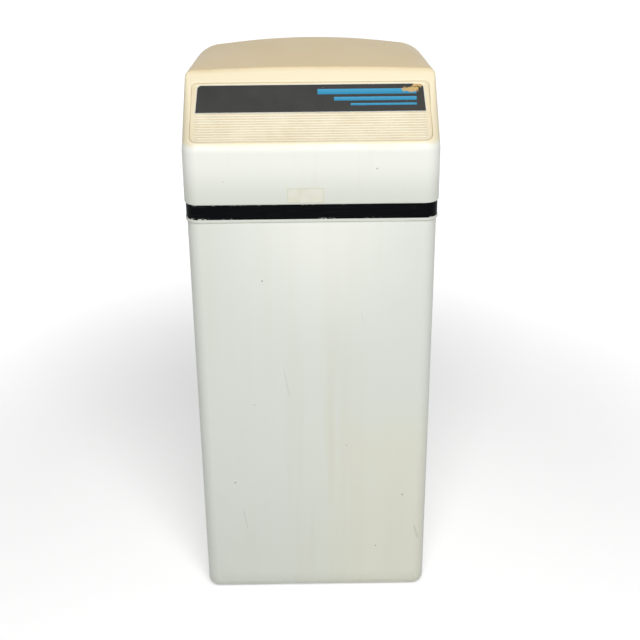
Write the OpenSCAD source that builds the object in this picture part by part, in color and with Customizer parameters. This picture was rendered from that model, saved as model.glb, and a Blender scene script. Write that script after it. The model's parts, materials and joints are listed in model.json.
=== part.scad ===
// One-piece cabinet water softener with a lift-off hood.
// Origin: centre of the cabinet's floor face. +Z is up and the front faces -Y.

/* [Cabinet] */
// Width of the cabinet at its rim
cabinet_w = 432; // [424:1:460]
// Depth of the cabinet at its rim
cabinet_d = 432; // [424:1:460]
// Height of the cabinet's rim
cabinet_h = 783; // [760:1:860]
// Draft of each side from rim to floor
cabinet_draft = 4; // [1:0.5:6]
// Wall of the cabinet
cabinet_wall = 4; // [3:0.5:5]
// Radius of the cabinet's upright corners
corner_r = 22; // [16:1:30]
// Radius round the edge of the floor
base_r = 20; // [10:1:22]

/* [Hood] */
// How far the hood's skirt stands out past the rim
skirt_over = 3.5; // [2.5:0.5:6]
// How far the hood's lower lip stands out past the rim
lip_over = 2.5; // [1.5:0.5:4]
// Height of the lower lip
lip_h = 5; // [3:0.5:8]
// Height of the dark band above the lip
band_h = 27; // [15:1:40]
// Thickness of the dark band
band_t = 1; // [0.6:0.1:1.4]
// Height of the white skirt above the band
skirt_h = 102; // [90:1:130]
// Rise of the sloped panel
panel_rise = 107; // [95:1:125]
// Run of the sloped panel towards the rear
panel_run = 100; // [80:1:110]
// Width of the hood at the crease above the panel
crease_w = 428; // [415:1:434]
// Radius of the crease
crease_r = 4; // [2:0.5:6]
// Radius of the crease's two ends
crease_end_r = 13; // [9:1:20]
// Rise of the crease's middle up the slope
crease_arch = 5; // [0:0.5:7]
// Height of the roof's crown above the crease
crown_h = 6; // [2:1:12]
// Radius of the roof's rear shoulders
shoulder_r = 60; // [35:1:80]
// Drop of the shoulders under the crease
shoulder_drop = 5; // [0:0.5:12]
// Distance of the shoulders' centres behind the middle
shoulder_y = 70; // [40:1:100]
// Wall of the hood
hood_wall = 4; // [3:0.5:5]
// Depth of the tongue inside the cabinet's mouth
tongue_h = 8; // [6:1:12]
// Half width of the pipe notch in the rear
notch_half_w = 110; // [105:1:120]
// Height of the pipe notch above the rim
notch_h = 92; // [80:1:100]

/* [Panel] */
// Depth of the panel's recess
recess_depth = 4; // [3.8:0.1:5]
// Width of the recess at its lower edge
recess_low_w = 410; // [400:1:412]
// Width of the recess at its upper edge
recess_high_w = 388; // [370:1:395]
// Frame between the recess and the brow
recess_low_margin = 11; // [10.5:0.5:15]
// Frame between the recess and the crease
recess_high_margin = 28; // [20:0.5:32]
// Radius of the recess's upper corners
recess_r = 8; // [3:0.5:12]
// Radius of the recess's lower corners
recess_low_r = 14; // [4:0.5:18]
// Thickness of the ribbed insert
insert_t = 2.2; // [1.6:0.1:2.6]
// Height of the dark plate in the recess
plate_h = 53; // [40:1:56]
// Thickness of the dark plate
plate_t = 0.9; // [0.6:0.1:1.2]
// Number of ribs under the plate
rib_n = 11; // [6:1:12]
// Height of a rib over the insert
rib_h = 0.9; // [0.5:0.1:1.2]
// Radius of a rib
rib_r = 1.5; // [1:0.1:1.5]

/* [Resin vessel] */
// Room between the resin vessel and the cabinet's sides
vessel_side = 85; // [83:1:97]
// Room between the resin vessel and the cabinet's rear
vessel_back = 45; // [41:1:55]
// Wall of the vessel
vessel_wall = 4; // [3:0.5:6]
// Height of each domed end
dome_h = 70; // [55:1:85]
// Radius of the neck
neck_r = 40; // [37:1:44]
// Radius of the neck's bore
neck_bore_r = 32; // [31:0.5:33]
// Height of the neck over its dome
neck_h = 20; // [12:1:30]
// Height of the neck's face over the cabinet's rim
neck_over = 10; // [4:1:20]
// How far the dished foot stands in from the vessel's side
foot_inset = 9; // [7:1:20]
// Room under the vessel's dome
dome_lift = 6; // [3:1:12]
// Height of the resin over the floor
resin_top = 480; // [300:10:600]
// Radius of the riser
riser_r = 13.5; // [11:0.5:15]
// Wall of the riser
riser_wall = 2.2; // [1.5:0.1:3]
// Radius of the slotted basket under the riser
basket_r = 28; // [24:1:34]
// Height of the slotted basket
basket_h = 60; // [50:1:80]

/* [Valve] */
// Radius of the valve body
valve_r = 52; // [51:0.5:54]
// Height of the valve body over the neck
valve_h = 55; // [53:1:60]
// Radius of the chamber of the rotor
chamber_r = 44; // [40:0.5:45]
// Depth of the chamber
chamber_h = 26; // [24:1:27]
// Thickness of the rubber seat
seat_t = 3; // [2:0.5:4]
// Thickness of the thrust washer
washer_t = 2; // [1:0.5:3]
// Radius of the rotor's shaft
shaft_r = 6; // [5:0.5:7]
// Thickness of the valve cover
cover_t = 8; // [6:0.5:10]
// Distance of the ports from the middle
port_x = 35; // [32:1:38]
// Outer radius of the ports
port_r = 16; // [15:0.5:17]
// Radius of the ports' bores
port_bore_r = 12; // [9:0.5:12.5]
// Distance of the ports' mouths from the rear of the rim
port_back = 76; // [72:1:84]
// Radius of the pipe tails
tail_r = 13.3; // [13:0.1:14]
// Length of the pipe tails
tail_l = 26; // [20:1:27]
// Radius of the drain's hose tail
drain_r = 6.5; // [5:0.5:8]
// Distance of the drain's hose tail from the middle
drain_x = 82; // [78:1:86]
// Radius of the bypass spool
spool_r = 9; // [7:0.5:10]
// Travel of the bypass spool
spool_travel = 20; // [15:1:25]

/* [Drive] */
// Module of the valve's gears
drive_module = 1.5; // [1.4:0.1:1.5]
// Teeth of the drive gear
drive_teeth = 48; // [44:4:48]
// Teeth of the motor pinion
motor_teeth = 16; // [16:1:18]
// Module of the clock's gears
clock_module = 1; // [0.9:0.1:1.1]
// Teeth of the time dial
dial_teeth = 64; // [60:4:72]
// Teeth of the clock pinion
clock_teeth = 16; // [16:1:18]
// Thickness of the gears
gear_t = 7; // [5:0.5:8]
// Thickness of the deck
deck_t = 3; // [2.5:0.5:4]
// Height of the deck's posts
post_h = 26; // [24:1:32]
// Radius of the cycle knob
knob_r = 18; // [14:1:20]
// Radius of the valve motor
motor_r = 23; // [18:1:25]
// Height of the valve motor
motor_h = 32; // [24:1:40]
// Radius of the clock motor
clock_r = 18; // [12:1:20]
// Radius of the day wheel
wheel_r = 28; // [25:1:30]
// Travel of a skip pin
pin_travel = 3; // [2:0.5:3.5]

/* [Brine] */
// Room between the brine well and the cabinet's walls
well_gap = 22; // [18:1:24]
// Radius of the brine well
well_r = 40; // [38:1:42]
// Wall of the brine well
well_wall = 2.5; // [2:0.5:3]
// Depth of the brine well's top under the rim
well_drop = 13; // [8:1:30]
// Radius of the float
float_r = 14; // [10:1:15]
// Height of the float
float_h = 70; // [50:1:100]
// Travel of the float
float_travel = 13; // [8:1:14]
// Radius of the brine line
line_r = 5; // [4:0.5:5.5]
// Radius of the check ball
ball_r = 7; // [6:0.5:8]
// Travel of the check ball
ball_travel = 20; // [8:1:20]
// Height of the salt grid over the floor
grid_z = 60; // [40:1:80]
// Thickness of the salt grid
grid_t = 6; // [4:0.5:8]
// Radius of the salt grid's holes
grid_hole_r = 4; // [2:0.5:6]

/* [Rear fittings] */
// Place of the overflow beside the middle
overflow_x = -150; // [-160:1:-145]
// Height of the overflow
overflow_z = 650; // [600:1:680]
// Radius of the overflow's hose tail
overflow_r = 7; // [5:0.5:8]
// Length of the overflow's hose tail
overflow_l = 30; // [25:1:40]
// Width of the bars across the overflow's inlet
strainer_t = 1.6; // [1:0.1:2.5]
// Place of the cord gland beside the middle
gland_x = 95; // [90:1:100]
// Depth of the cord gland under the rim
gland_drop = 48; // [40:1:60]
// Radius of the cord gland's bore
gland_bore_r = 4; // [3:0.5:5]

/* [Hidden] */
$fn = 48;
hull_fn = 32;

// Clearances
run_gap = 0.06;
slip_gap = 0.3;
seat_gap = 0.1;
eps = 0.5;

// Cabinet
floor_z = cabinet_wall;
grid_gap = 2;
leg_r = 9;
leg_inset = 40;
hole_pitch = 30;

// Hood, counted up from the rim
rim_z = cabinet_h;
hood_w = cabinet_w + 2 * skirt_over;
hood_d = cabinet_d + 2 * skirt_over;
hood_r = corner_r + skirt_over;
band_z = rim_z + lip_h;
skirt_z = band_z + band_h;
brow_z = skirt_z + skirt_h;
crease_z = brow_z + panel_rise;
panel_len = sqrt(panel_rise * panel_rise + panel_run * panel_run);
lean = atan2(panel_run, panel_rise);
crease_s = panel_len - crease_r * (1 - sin(lean)) / cos(lean);
band_over = lip_over - 1;
insert_gap = 0.2;
recess_len = panel_len - recess_low_margin - recess_high_margin;
shoulder_x = hood_w / 2 - shoulder_r;
rear_top_z = brow_z - 10;
ledge_w = 9;
tongue_t = 3;

// Resin vessel
vessel_r = cabinet_w / 2 - cabinet_wall - vessel_side;
vessel_y = cabinet_d / 2 - cabinet_wall - vessel_back - vessel_r;
foot_r = vessel_r - foot_inset;
vessel_z = floor_z + dome_lift;
neck_z = rim_z + neck_over;
dome_top_z = neck_z - neck_h;
dome_steps = 16;
basket_z = vessel_z + vessel_wall + 2.2;
basket_wall = 4;
spigot_h = 25;
spigot_r = neck_bore_r - slip_gap;
riser_top_z = neck_z + 12;

// Valve
valve_at = [0, vessel_y, 0];
valve_top_z = neck_z + valve_h;
chamber_z = valve_top_z - chamber_h;
port_z = neck_z + 32;
port_end_y = cabinet_d / 2 - port_back;
port_reach = port_end_y - vessel_y;
flange_t = 4;
flange_r = port_r + 4;
boss_l = 10;
block_y = port_end_y + boss_l;
block_d = 40;
block_w = 2 * (port_x + flange_r + 7);
block_h = 44;
block_z = port_z - block_h / 2;
tail_y = block_y + block_d;
spool_y = block_y + block_d / 2;
spool_foot_z = block_z + 2;
spool_top_z = block_z + block_h + 24;
boss_top_z = valve_top_z + cover_t + 6;
cover_r = valve_r + 4;
screw_ring_r = (chamber_r + valve_r) / 2;
screw_n = 8;
screw_r = 1.8;
injector_w = 44;
injector_h = 44;
pad_w = 40;
pad_h = 32;
injector_bore_r = 2.5;
injector_d = 30;
injector_screw_l = 12;
injector_y = vessel_y - valve_r - 14;
cap_t = 6;

// Drive on top of the valve
gear_z = boss_top_z + 2;
deck_z = valve_top_z + cover_t + post_h;
deck_top_z = deck_z + deck_t;
deck_r = 12;
deck_boss_r = 9;
knob_z = deck_top_z + 1;
knob_bore_h = 16;
shaft_top_z = knob_z + knob_bore_h - seat_gap;
drive_pitch_r = drive_module * drive_teeth / 2;
motor_x = drive_module * (drive_teeth + motor_teeth) / 2;
motor_shaft_r = 3;
motor_bore_h = 13;
motor_ear_r = 5;
motor_ear_t = 3;
post_ring_r = cover_r - 5;
post_r = 4.5;
dial_x = -38;
dial_y = vessel_y - 85;
clock_x = dial_x - clock_module * (dial_teeth + clock_teeth) / 2;
clock_shaft_r = 2;
clock_h = 16;
clock_ear = 4;
dial_shaft_r = 4;
dial_z = deck_top_z + 2;
grip_r = 11;
grip_h = 12;
grip_w = 5;
wheel_x = 42;
wheel_y = dial_y - 5;
wheel_z = deck_top_z + pin_travel + 2;
wheel_t = 6;
pin_n = 7;
pin_ring_r = wheel_r - 8;
pin_r = 2;
deck_min_x = clock_x - clock_r - 5;
deck_max_x = wheel_x + wheel_r + 20;
deck_min_y = dial_y - clock_module * (dial_teeth / 2 + 1) - 14;
deck_max_y = vessel_y + post_ring_r + 10;

// Brine
well_x = cabinet_w / 2 - cabinet_wall - well_gap - well_r;
well_y = cabinet_d / 2 - cabinet_wall - well_gap - well_r;
well_top_z = rim_z - well_drop;
well_cap_t = 4;
well_plug_h = 8;
slot_w = 8;
slot_h = 40;
valve_box_z = well_top_z - 45;
valve_box_h = 25;
valve_box_w = 24;
valve_box_d = 56;
nipple_z = valve_box_z + 13;
nipple_r = 6;
rod_r = 3;
rod_y = well_y + 15;
pipe_y = well_y - 17;
float_z = 250;
cage_r = 12;
cage_z = 14;
cage_wall = 2.5;
cage_end_t = 4;
ball_seat_r = 4;
ball_lift = seat_gap + sqrt(ball_r * ball_r - ball_seat_r * ball_seat_r);
cage_h = 2 * cage_end_t + ball_lift + ball_r + ball_travel + slip_gap;
line_bend_r = 18;
line_end_y = well_y - well_r - 8;
line_start_x = injector_w / 2;
line_y = injector_y - injector_d / 2;
line_drop_y = line_end_y - line_bend_r - 6;

// Half width of the cabinet's outside at a height, from its half width at the rim
function side(half, z) = half - cabinet_draft * (1 - z / cabinet_h);

// Points of an elliptic arc in a profile, counted from the axis
function arc(rx, rz, cz, from, to, n = dome_steps) =
    [for (i = [0:n]) let (a = from + (to - from) * i / n) [rx * cos(a), cz + rz * sin(a)]];

// Height of the lower dome's surface at a radius
function dome_z(r, inset) =
    vessel_z + dome_h - (dome_h - inset) * sqrt(1 - pow(r / (vessel_r - inset), 2));

// Involute of an angle, in degrees
function involute(a) = tan(a) * 180 / PI - a;

// Half angle of a tooth at a radius
function tooth_angle(teeth, m, r) =
    let (base = m * teeth * cos(20) / 2, thin = 0.12)
    90 / teeth - thin / (m * teeth / 2) * 180 / PI
    + involute(20) - involute(acos(min(1, base / r)));

// Outline of an involute gear, with a tooth on +X
function gear_points(teeth, m, flank = 5) =
    let (tip = m * teeth / 2 + m, root = m * teeth / 2 - 1.25 * m)
    let (start = max(root, m * teeth * cos(20) / 2))
    [for (i = [0:teeth - 1], k = [-flank - 1:flank + 1])
        let (side = k < 0 ? -1 : 1, step = abs(k))
        if (k != 0)
        let (r = step > flank ? root : tip - (tip - start) * (step - 1) / (flank - 1))
        let (a = 360 * i / teeth + side * tooth_angle(teeth, m, max(r, start)))
        [r * cos(a), r * sin(a)]];

module gear(teeth, m, t) linear_extrude(t) polygon(gear_points(teeth, m));

module tube(outer, inner, h) {
    difference() {
        cylinder(r = outer, h = h);
        translate([0, 0, -eps]) cylinder(r = inner, h = h + 2 * eps);
    }
}

// A cylinder along +X or +Y from the origin
module along_x(r, l, fn = $fn) rotate([0, 90, 0]) cylinder(r = r, h = l, $fn = fn);
module along_y(r, l, fn = $fn) rotate([-90, 0, 0]) cylinder(r = r, h = l, $fn = fn);

// A plate with round corners, made of exact pieces
module round_plate(w, d, r, h) {
    translate([-w / 2 + r, -d / 2, 0]) cube([w - 2 * r, d, h]);
    translate([-w / 2, -d / 2 + r, 0]) cube([w, d - 2 * r, h]);
    for (x = [-1, 1], y = [-1, 1])
        translate([x * (w / 2 - r), y * (d / 2 - r), 0]) cylinder(r = r, h = h);
}

// The cabinet's form, drawn in by an inset on all sides
module cabinet_form(inset, top) {
    hull() for (x = [-1, 1], y = [-1, 1]) {
        translate([x * (side(cabinet_w / 2, 0) - corner_r), y * (side(cabinet_d / 2, 0) - corner_r), 0])
            rotate_extrude($fn = hull_fn)
            translate([corner_r - base_r, base_r])
            intersection() {
                circle(r = base_r - inset);
                translate([0, -base_r]) square(base_r);
            }
        translate([x * (cabinet_w / 2 - corner_r), y * (cabinet_d / 2 - corner_r), rim_z])
            cylinder(r = corner_r - inset, h = top, $fn = hull_fn);
    }
}

module salt_tank() color("whitesmoke") difference() {
    intersection() {
        cabinet_form(0, eps);
        translate([-cabinet_w, -cabinet_d, 0]) cube([2 * cabinet_w, 2 * cabinet_d, rim_z]);
    }
    cabinet_form(cabinet_wall, 2 * eps);
    translate([overflow_x, 0, overflow_z]) along_y(overflow_r + 2 + slip_gap, cabinet_d);
    translate([gland_x, 0, rim_z - gland_drop]) along_y(gland_bore_r + 3 + slip_gap, cabinet_d);
}

module salt_grid() color("ivory") {
    half_w = side(cabinet_w / 2, grid_z) - cabinet_wall - grid_gap;
    half_d = side(cabinet_d / 2, grid_z) - cabinet_wall - grid_gap;
    leg_x = half_w - leg_inset;
    leg_y = half_d - leg_inset;
    difference() {
        translate([0, 0, grid_z]) round_plate(2 * half_w, 2 * half_d, corner_r - cabinet_wall, grid_t);
        translate([0, vessel_y, 0]) cylinder(r = vessel_r + grid_gap, h = rim_z);
        translate([well_x, well_y, 0]) cylinder(r = well_r + grid_gap, h = rim_z);
        for (x = [-6:6], y = [0:2])
            translate([x * hole_pitch * 0.9, -half_d + hole_pitch * (y + 0.7), grid_z - eps])
                cylinder(r = grid_hole_r, h = grid_t + 2 * eps, $fn = 24);
    }
    for (x = [-leg_x, leg_x], y = [-leg_y, vessel_y]) grid_leg(x, y);
    grid_leg(-leg_x, leg_y);
    grid_leg(0, -leg_y);
}

module grid_leg(x, y) translate([x, y, floor_z]) cylinder(r = leg_r, h = grid_z - floor_z);

module brine_well() color("white") translate([well_x, well_y, 0]) difference() {
    translate([0, 0, floor_z]) tube(well_r, well_r - well_wall, well_top_z - floor_z);
    for (a = [0:60:120])
        rotate(a) translate([-well_r - eps, -slot_w / 2, floor_z - eps])
            cube([2 * (well_r + eps), slot_w, slot_h]);
    translate([0, 0, nipple_z]) rotate(180) along_y(nipple_r + slip_gap, well_r + eps);
}

module brine_well_cap() color("white") translate([well_x, well_y, well_top_z]) {
    translate([0, 0, seat_gap]) cylinder(r = well_r + 3, h = well_cap_t);
    difference() {
        translate([0, 0, -well_plug_h]) cylinder(r = well_r - well_wall - slip_gap, h = well_plug_h + 2 * seat_gap);
        translate([0, 0, -well_plug_h - eps])
            cylinder(r = well_r - well_wall - 3, h = well_plug_h + eps + seat_gap);
    }
    translate([0, 0, well_cap_t]) tube(10, 7, 6);
}

module brine_valve() color("gainsboro") difference() {
    union() {
        translate([well_x - valve_box_w / 2, well_y - valve_box_d / 2, valve_box_z])
            cube([valve_box_w, valve_box_d, valve_box_h]);
        translate([well_x, line_end_y, nipple_z]) along_y(nipple_r, well_r - valve_box_d / 2 + 10);
    }
    translate([well_x, rod_y, valve_box_z - eps]) cylinder(r = rod_r + run_gap, h = valve_box_h + 2 * eps);
    translate([well_x, line_end_y - eps, nipple_z]) along_y(line_r - 2, pipe_y - line_end_y + eps);
    translate([well_x, pipe_y, valve_box_z - eps]) cylinder(r = line_r - 2, h = 13 + eps);
}

module float_rod() color("dimgray") translate([well_x, rod_y, 0]) {
    translate([0, 0, float_z - 20]) cylinder(r = rod_r, h = valve_box_z + valve_box_h + 3 - float_z + 20);
    translate([0, 0, float_z - 3]) cylinder(r = rod_r + 3, h = 3);
    translate([0, 0, valve_box_z + valve_box_h + seat_gap]) cylinder(r = rod_r + 3, h = 3 - seat_gap);
    translate([0, 0, valve_box_z - float_travel - 4]) cylinder(r = rod_r + 3, h = 3);
}

module float() color("orangered")
    translate([well_x, rod_y, float_z]) tube(float_r, rod_r + slip_gap, float_h);

module brine_pipe() color("white")
    translate([well_x, pipe_y, cage_z + cage_h]) tube(line_r, line_r - 1.5, valve_box_z - cage_z - cage_h);

module air_check() color("lightgray") translate([well_x, pipe_y, cage_z]) difference() {
    cylinder(r = cage_r, h = cage_h);
    translate([0, 0, cage_end_t]) cylinder(r = cage_r - cage_wall, h = cage_h - 2 * cage_end_t);
    translate([0, 0, -eps]) cylinder(r = ball_seat_r, h = cage_end_t + 2 * eps);
    translate([0, 0, cage_h - cage_end_t - eps]) cylinder(r = line_r - 1.5, h = cage_end_t + 2 * eps);
    for (a = [0, 90]) rotate(a) translate([-cage_r, -3, 12]) cube([2 * cage_r, 6, cage_h - 24]);
}

module air_check_ball() color("white")
    translate([well_x, pipe_y, cage_z + cage_end_t + ball_lift]) sphere(r = ball_r);

// A quarter bend of the brine line that starts at the origin along +X and turns to +Y
module line_bend() translate([0, line_bend_r, 0]) rotate(-90)
    rotate_extrude(angle = 90) translate([line_bend_r, 0]) circle(r = line_r);

module brine_line() color("white") {
    run_x = well_x - line_bend_r - line_start_x;
    drop_z = port_z - nipple_z - 2 * line_bend_r;
    run_y = line_drop_y - line_bend_r - line_y - line_bend_r;
    translate([line_start_x, line_y, port_z]) along_x(line_r, run_x);
    translate([well_x - line_bend_r, line_y, port_z]) line_bend();
    translate([well_x, line_y + line_bend_r, port_z]) along_y(line_r, run_y);
    translate([well_x, line_drop_y - line_bend_r, port_z]) rotate([-90, 0, 90]) line_bend();
    translate([well_x, line_drop_y, nipple_z + line_bend_r]) cylinder(r = line_r, h = drop_z);
    translate([well_x, line_drop_y, nipple_z + line_bend_r]) rotate([0, 90, 0]) line_bend();
    translate([well_x, line_drop_y + line_bend_r, nipple_z])
        along_y(line_r, line_end_y - line_drop_y - line_bend_r);
}

module brine_nut() color("gray") translate([well_x, line_end_y - 4, nipple_z]) difference() {
    along_y(nipple_r + 4, 11.5, 6);
    translate([0, -eps, 0]) along_y(nipple_r + slip_gap, 11.5 + 2 * eps);
}

module overflow_elbow() color("gray") translate([overflow_x, 0, overflow_z]) {
    wall_y = side(cabinet_d / 2, overflow_z);
    stem_r = overflow_r + 2;
    difference() {
        union() {
            translate([0, wall_y - 16, 0]) along_y(stem_r, 30);
            translate([0, wall_y + slip_gap, 0]) along_y(stem_r + 7, 4);
            translate([0, wall_y + 14, 0]) sphere(r = stem_r);
            translate([0, wall_y + 14, -stem_r]) cylinder(r = stem_r, h = stem_r);
            translate([0, wall_y + 14, -stem_r - overflow_l]) cylinder(r = overflow_r, h = overflow_l + eps);
        }
        translate([0, wall_y - 16 - eps, 0]) along_y(overflow_r - 2, 30 + eps);
        translate([0, wall_y + 14, -stem_r - overflow_l - eps])
            cylinder(r = overflow_r - 2, h = overflow_l + stem_r + eps);
    }
    // Two bars across the inlet keep salt out of the hose
    for (turn = [0, 90]) translate([0, wall_y - 16, 0]) rotate([0, turn, 0])
        translate([1 - overflow_r, 0, -strainer_t / 2]) cube([2 * overflow_r - 2, 2, strainer_t]);
}

module overflow_nut() color("dimgray") {
    wall_y = side(cabinet_d / 2, overflow_z) - cabinet_wall - slip_gap;
    translate([overflow_x, wall_y - 8, overflow_z]) difference() {
        along_y(overflow_r + 9, 8, 6);
        translate([0, -eps, 0]) along_y(overflow_r + 2 + slip_gap, 8 + 2 * eps);
    }
}

module cord_gland() color("dimgray") {
    wall_y = side(cabinet_d / 2, rim_z - gland_drop);
    translate([gland_x, wall_y, rim_z - gland_drop]) difference() {
        union() {
            translate([0, -cabinet_wall - 5, 0]) along_y(gland_bore_r + 3, cabinet_wall + 8);
            translate([0, slip_gap, 0]) along_y(gland_bore_r + 6, 3 - slip_gap);
        }
        translate([0, -cabinet_wall - 5 - eps, 0]) along_y(gland_bore_r, cabinet_wall + 8 + 2 * eps);
    }
}

module mineral_tank() color("steelblue") translate([0, vessel_y, 0]) rotate_extrude($fn = 96) {
    low = vessel_z + dome_h;
    high = dome_top_z - dome_h;
    inner_r = vessel_r - vessel_wall;
    inner_h = dome_h - vessel_wall;
    polygon(concat(
        arc(vessel_r, dome_h, low, -90, 0),
        arc(vessel_r, dome_h, high, 0, acos(neck_r / vessel_r)),
        [[neck_r, neck_z], [neck_bore_r, neck_z]],
        arc(inner_r, inner_h, high, acos(neck_bore_r / inner_r), 0),
        arc(inner_r, inner_h, low, 0, -90)));
}

module tank_foot() color("black") translate([0, vessel_y, 0]) rotate_extrude($fn = 96) {
    polygon(concat(
        [[0, floor_z], [foot_r, floor_z]],
        [for (i = [dome_steps:-1:0]) let (r = foot_r * i / dome_steps) [r, dome_z(r, 0) - slip_gap]]));
}

module resin_bed() color("goldenrod") translate([0, vessel_y, 0]) rotate_extrude($fn = 96) {
    inset = vessel_wall + slip_gap;
    bed_r = vessel_r - inset;
    near_r = basket_r + slip_gap;
    start = -acos(near_r / bed_r);
    bore = riser_r + slip_gap;
    low = vessel_z + dome_h;
    polygon(concat(
        arc(bed_r, dome_h - inset, low, start, 0),
        [[bed_r, resin_top], [bore, resin_top]],
        [[bore, basket_z + basket_h + slip_gap], [near_r, basket_z + basket_h + slip_gap]]));
}

module riser_tube() color("white")
    translate([0, vessel_y, basket_z + 37]) tube(riser_r, riser_r - riser_wall, riser_top_z - basket_z - 37);

module lower_distributor() color("ivory") translate([0, vessel_y, basket_z]) difference() {
    cylinder(r = basket_r, h = basket_h);
    translate([0, 0, 4]) cylinder(r = basket_r - basket_wall, h = 30);
    translate([0, 0, 33]) cylinder(r = riser_r - riser_wall, h = 5);
    translate([0, 0, 37]) cylinder(r = riser_r + slip_gap, h = basket_h);
    for (a = [0:30:150]) rotate(a) translate([-basket_r - eps, -0.8, 6]) cube([2 * basket_r + 2 * eps, 1.6, 26]);
}

module upper_distributor() color("ivory") translate([0, vessel_y, neck_z - spigot_h - 45]) difference() {
    cylinder(r = spigot_r - 5, h = 45);
    translate([0, 0, -eps]) cylinder(r = riser_r + slip_gap, h = 45 + 2 * eps);
    translate([0, 0, -eps]) cylinder(r = spigot_r - 8, h = 36);
    for (a = [0:30:150]) rotate(a) translate([-spigot_r, -0.8, 5]) cube([2 * spigot_r, 1.6, 28]);
}

module neck_o_ring() color("black") translate([0, vessel_y, neck_z + 1.5])
    rotate_extrude() translate([(neck_r + neck_bore_r) / 2, 0]) circle(r = 1.45, $fn = 24);

module valve_body() color("gainsboro") translate(valve_at) difference() {
    union() {
        translate([0, 0, neck_z - spigot_h]) cylinder(r = spigot_r, h = spigot_h + eps);
        translate([0, 0, neck_z]) cylinder(r = valve_r - 2, h = 10);
        translate([0, 0, neck_z + 10]) cylinder(r = valve_r, h = valve_h - 10);
        for (x = [-port_x, port_x]) {
            translate([x, 0, port_z]) along_y(port_r, port_reach);
            translate([x, port_reach - flange_t, port_z]) along_y(flange_r, flange_t);
        }
        translate([-valve_r - 14, 0, port_z]) along_x(drain_r + 5, valve_r);
        translate([-pad_w / 2, injector_y - vessel_y, port_z - pad_h / 2]) cube([pad_w, pad_w, pad_h]);
    }
    translate([0, 0, chamber_z]) cylinder(r = chamber_r, h = chamber_h + eps);
    translate([0, 0, neck_z - spigot_h - eps])
        cylinder(r = riser_r + slip_gap, h = riser_top_z - neck_z + spigot_h + eps);
    translate([0, 0, riser_top_z - eps]) cylinder(r = riser_r - riser_wall, h = chamber_h);
    for (x = [-port_x, port_x])
        translate([x, valve_r - 24, port_z]) along_y(port_bore_r, port_reach);
    translate([-valve_r - 14 - eps, 0, port_z]) along_x(drain_r - 2, 30);
    translate([0, injector_y - vessel_y - eps, port_z]) along_y(injector_bore_r, 30);
    translate([0, 0, neck_z]) translate([0, 0, -eps])
        tube((neck_r + neck_bore_r) / 2 + 1.8, (neck_r + neck_bore_r) / 2 - 1.8, 3 + eps);
    cover_screw_places() translate([0, 0, valve_top_z - 16]) cylinder(r = screw_r + seat_gap, h = 20, $fn = 24);
}

module cover_screw_places() for (i = [0:screw_n - 1])
    rotate(360 * (i + 0.5) / screw_n) translate([screw_ring_r, 0, 0]) children();

module valve_seat() color("dimgray") translate(valve_at) translate([0, 0, chamber_z]) difference() {
    cylinder(r = chamber_r - slip_gap, h = seat_t);
    for (a = [0:90:270]) rotate(a + 45) translate([chamber_r / 2, 0, -eps]) cylinder(r = 7, h = seat_t + 2 * eps);
    translate([0, 0, -eps]) cylinder(r = 6, h = seat_t + 2 * eps);
}

module rotor_disc() color("white") translate(valve_at) difference() {
    disc_z = chamber_z + seat_t + seat_gap;
    disc_top_z = valve_top_z - washer_t - seat_gap;
    union() {
        translate([0, 0, disc_z]) cylinder(r = chamber_r - slip_gap, h = disc_top_z - disc_z);
        translate([0, 0, disc_top_z - eps]) cylinder(r = shaft_r, h = shaft_top_z - disc_top_z + eps);
    }
    translate([chamber_r / 2, 0, disc_z - eps]) cylinder(r = 9, h = 10);
    rotate(150) translate([chamber_r / 2, 0, disc_z - eps]) cylinder(r = 9, h = 10);
}

module thrust_washer() color("black") translate(valve_at) translate([0, 0, valve_top_z - washer_t])
    tube(shaft_r + 14, shaft_r + slip_gap, washer_t);

module valve_cover() color("gainsboro") translate(valve_at) difference() {
    union() {
        translate([0, 0, valve_top_z]) cylinder(r = cover_r, h = cover_t);
        translate([0, 0, valve_top_z]) cylinder(r = shaft_r + 8, h = boss_top_z - valve_top_z);
    }
    translate([0, 0, valve_top_z - eps]) cylinder(r = shaft_r + run_gap, h = boss_top_z);
    translate([0, 0, boss_top_z - 3]) cylinder(r = shaft_r + 4, h = 4);
    cover_screw_places() translate([0, 0, valve_top_z - eps])
        cylinder(r = screw_r + seat_gap, h = cover_t + 2 * eps, $fn = 24);
}

module shaft_seal() color("black") translate(valve_at) translate([0, 0, boss_top_z - 3])
    tube(shaft_r + 4 - seat_gap, shaft_r + run_gap, 2.5);

module cover_screws() color("silver") translate(valve_at) cover_screw_places() {
    translate([0, 0, valve_top_z - 12]) cylinder(r = screw_r, h = 12 + cover_t + eps, $fn = 24);
    translate([0, 0, valve_top_z + cover_t]) difference() {
        cylinder(r = screw_r + 1.7, h = 2.6, $fn = 24);
        translate([-4, -0.4, 1.6]) cube([8, 0.8, 2]);
    }
}

module drive_gear() color("ivory") translate(valve_at) translate([0, 0, gear_z]) difference() {
    union() {
        gear(drive_teeth, drive_module, gear_t);
        cylinder(r = shaft_r + 6, h = gear_t + 3);
    }
    translate([0, 0, -eps]) cylinder(r = shaft_r + seat_gap, h = gear_t + 5);
    for (a = [0:60:300]) rotate(a) translate([drive_pitch_r * 0.6, 0, -eps]) cylinder(r = 6, h = gear_t + 5);
}

module cycle_knob() color("dimgray") translate(valve_at) translate([0, 0, knob_z]) difference() {
    union() {
        cylinder(r = knob_r, h = 5);
        translate([0, 0, 5]) cylinder(r = knob_r - 3, h = 13);
    }
    translate([0, 0, -eps]) cylinder(r = shaft_r + seat_gap, h = knob_bore_h + eps);
    for (a = [10:20:350]) rotate(a) translate([knob_r - 2.6, 0, 6]) cylinder(r = 1, h = 14, $fn = 16);
    translate([2, -0.8, 17]) cube([knob_r, 1.6, 2]);
}

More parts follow.
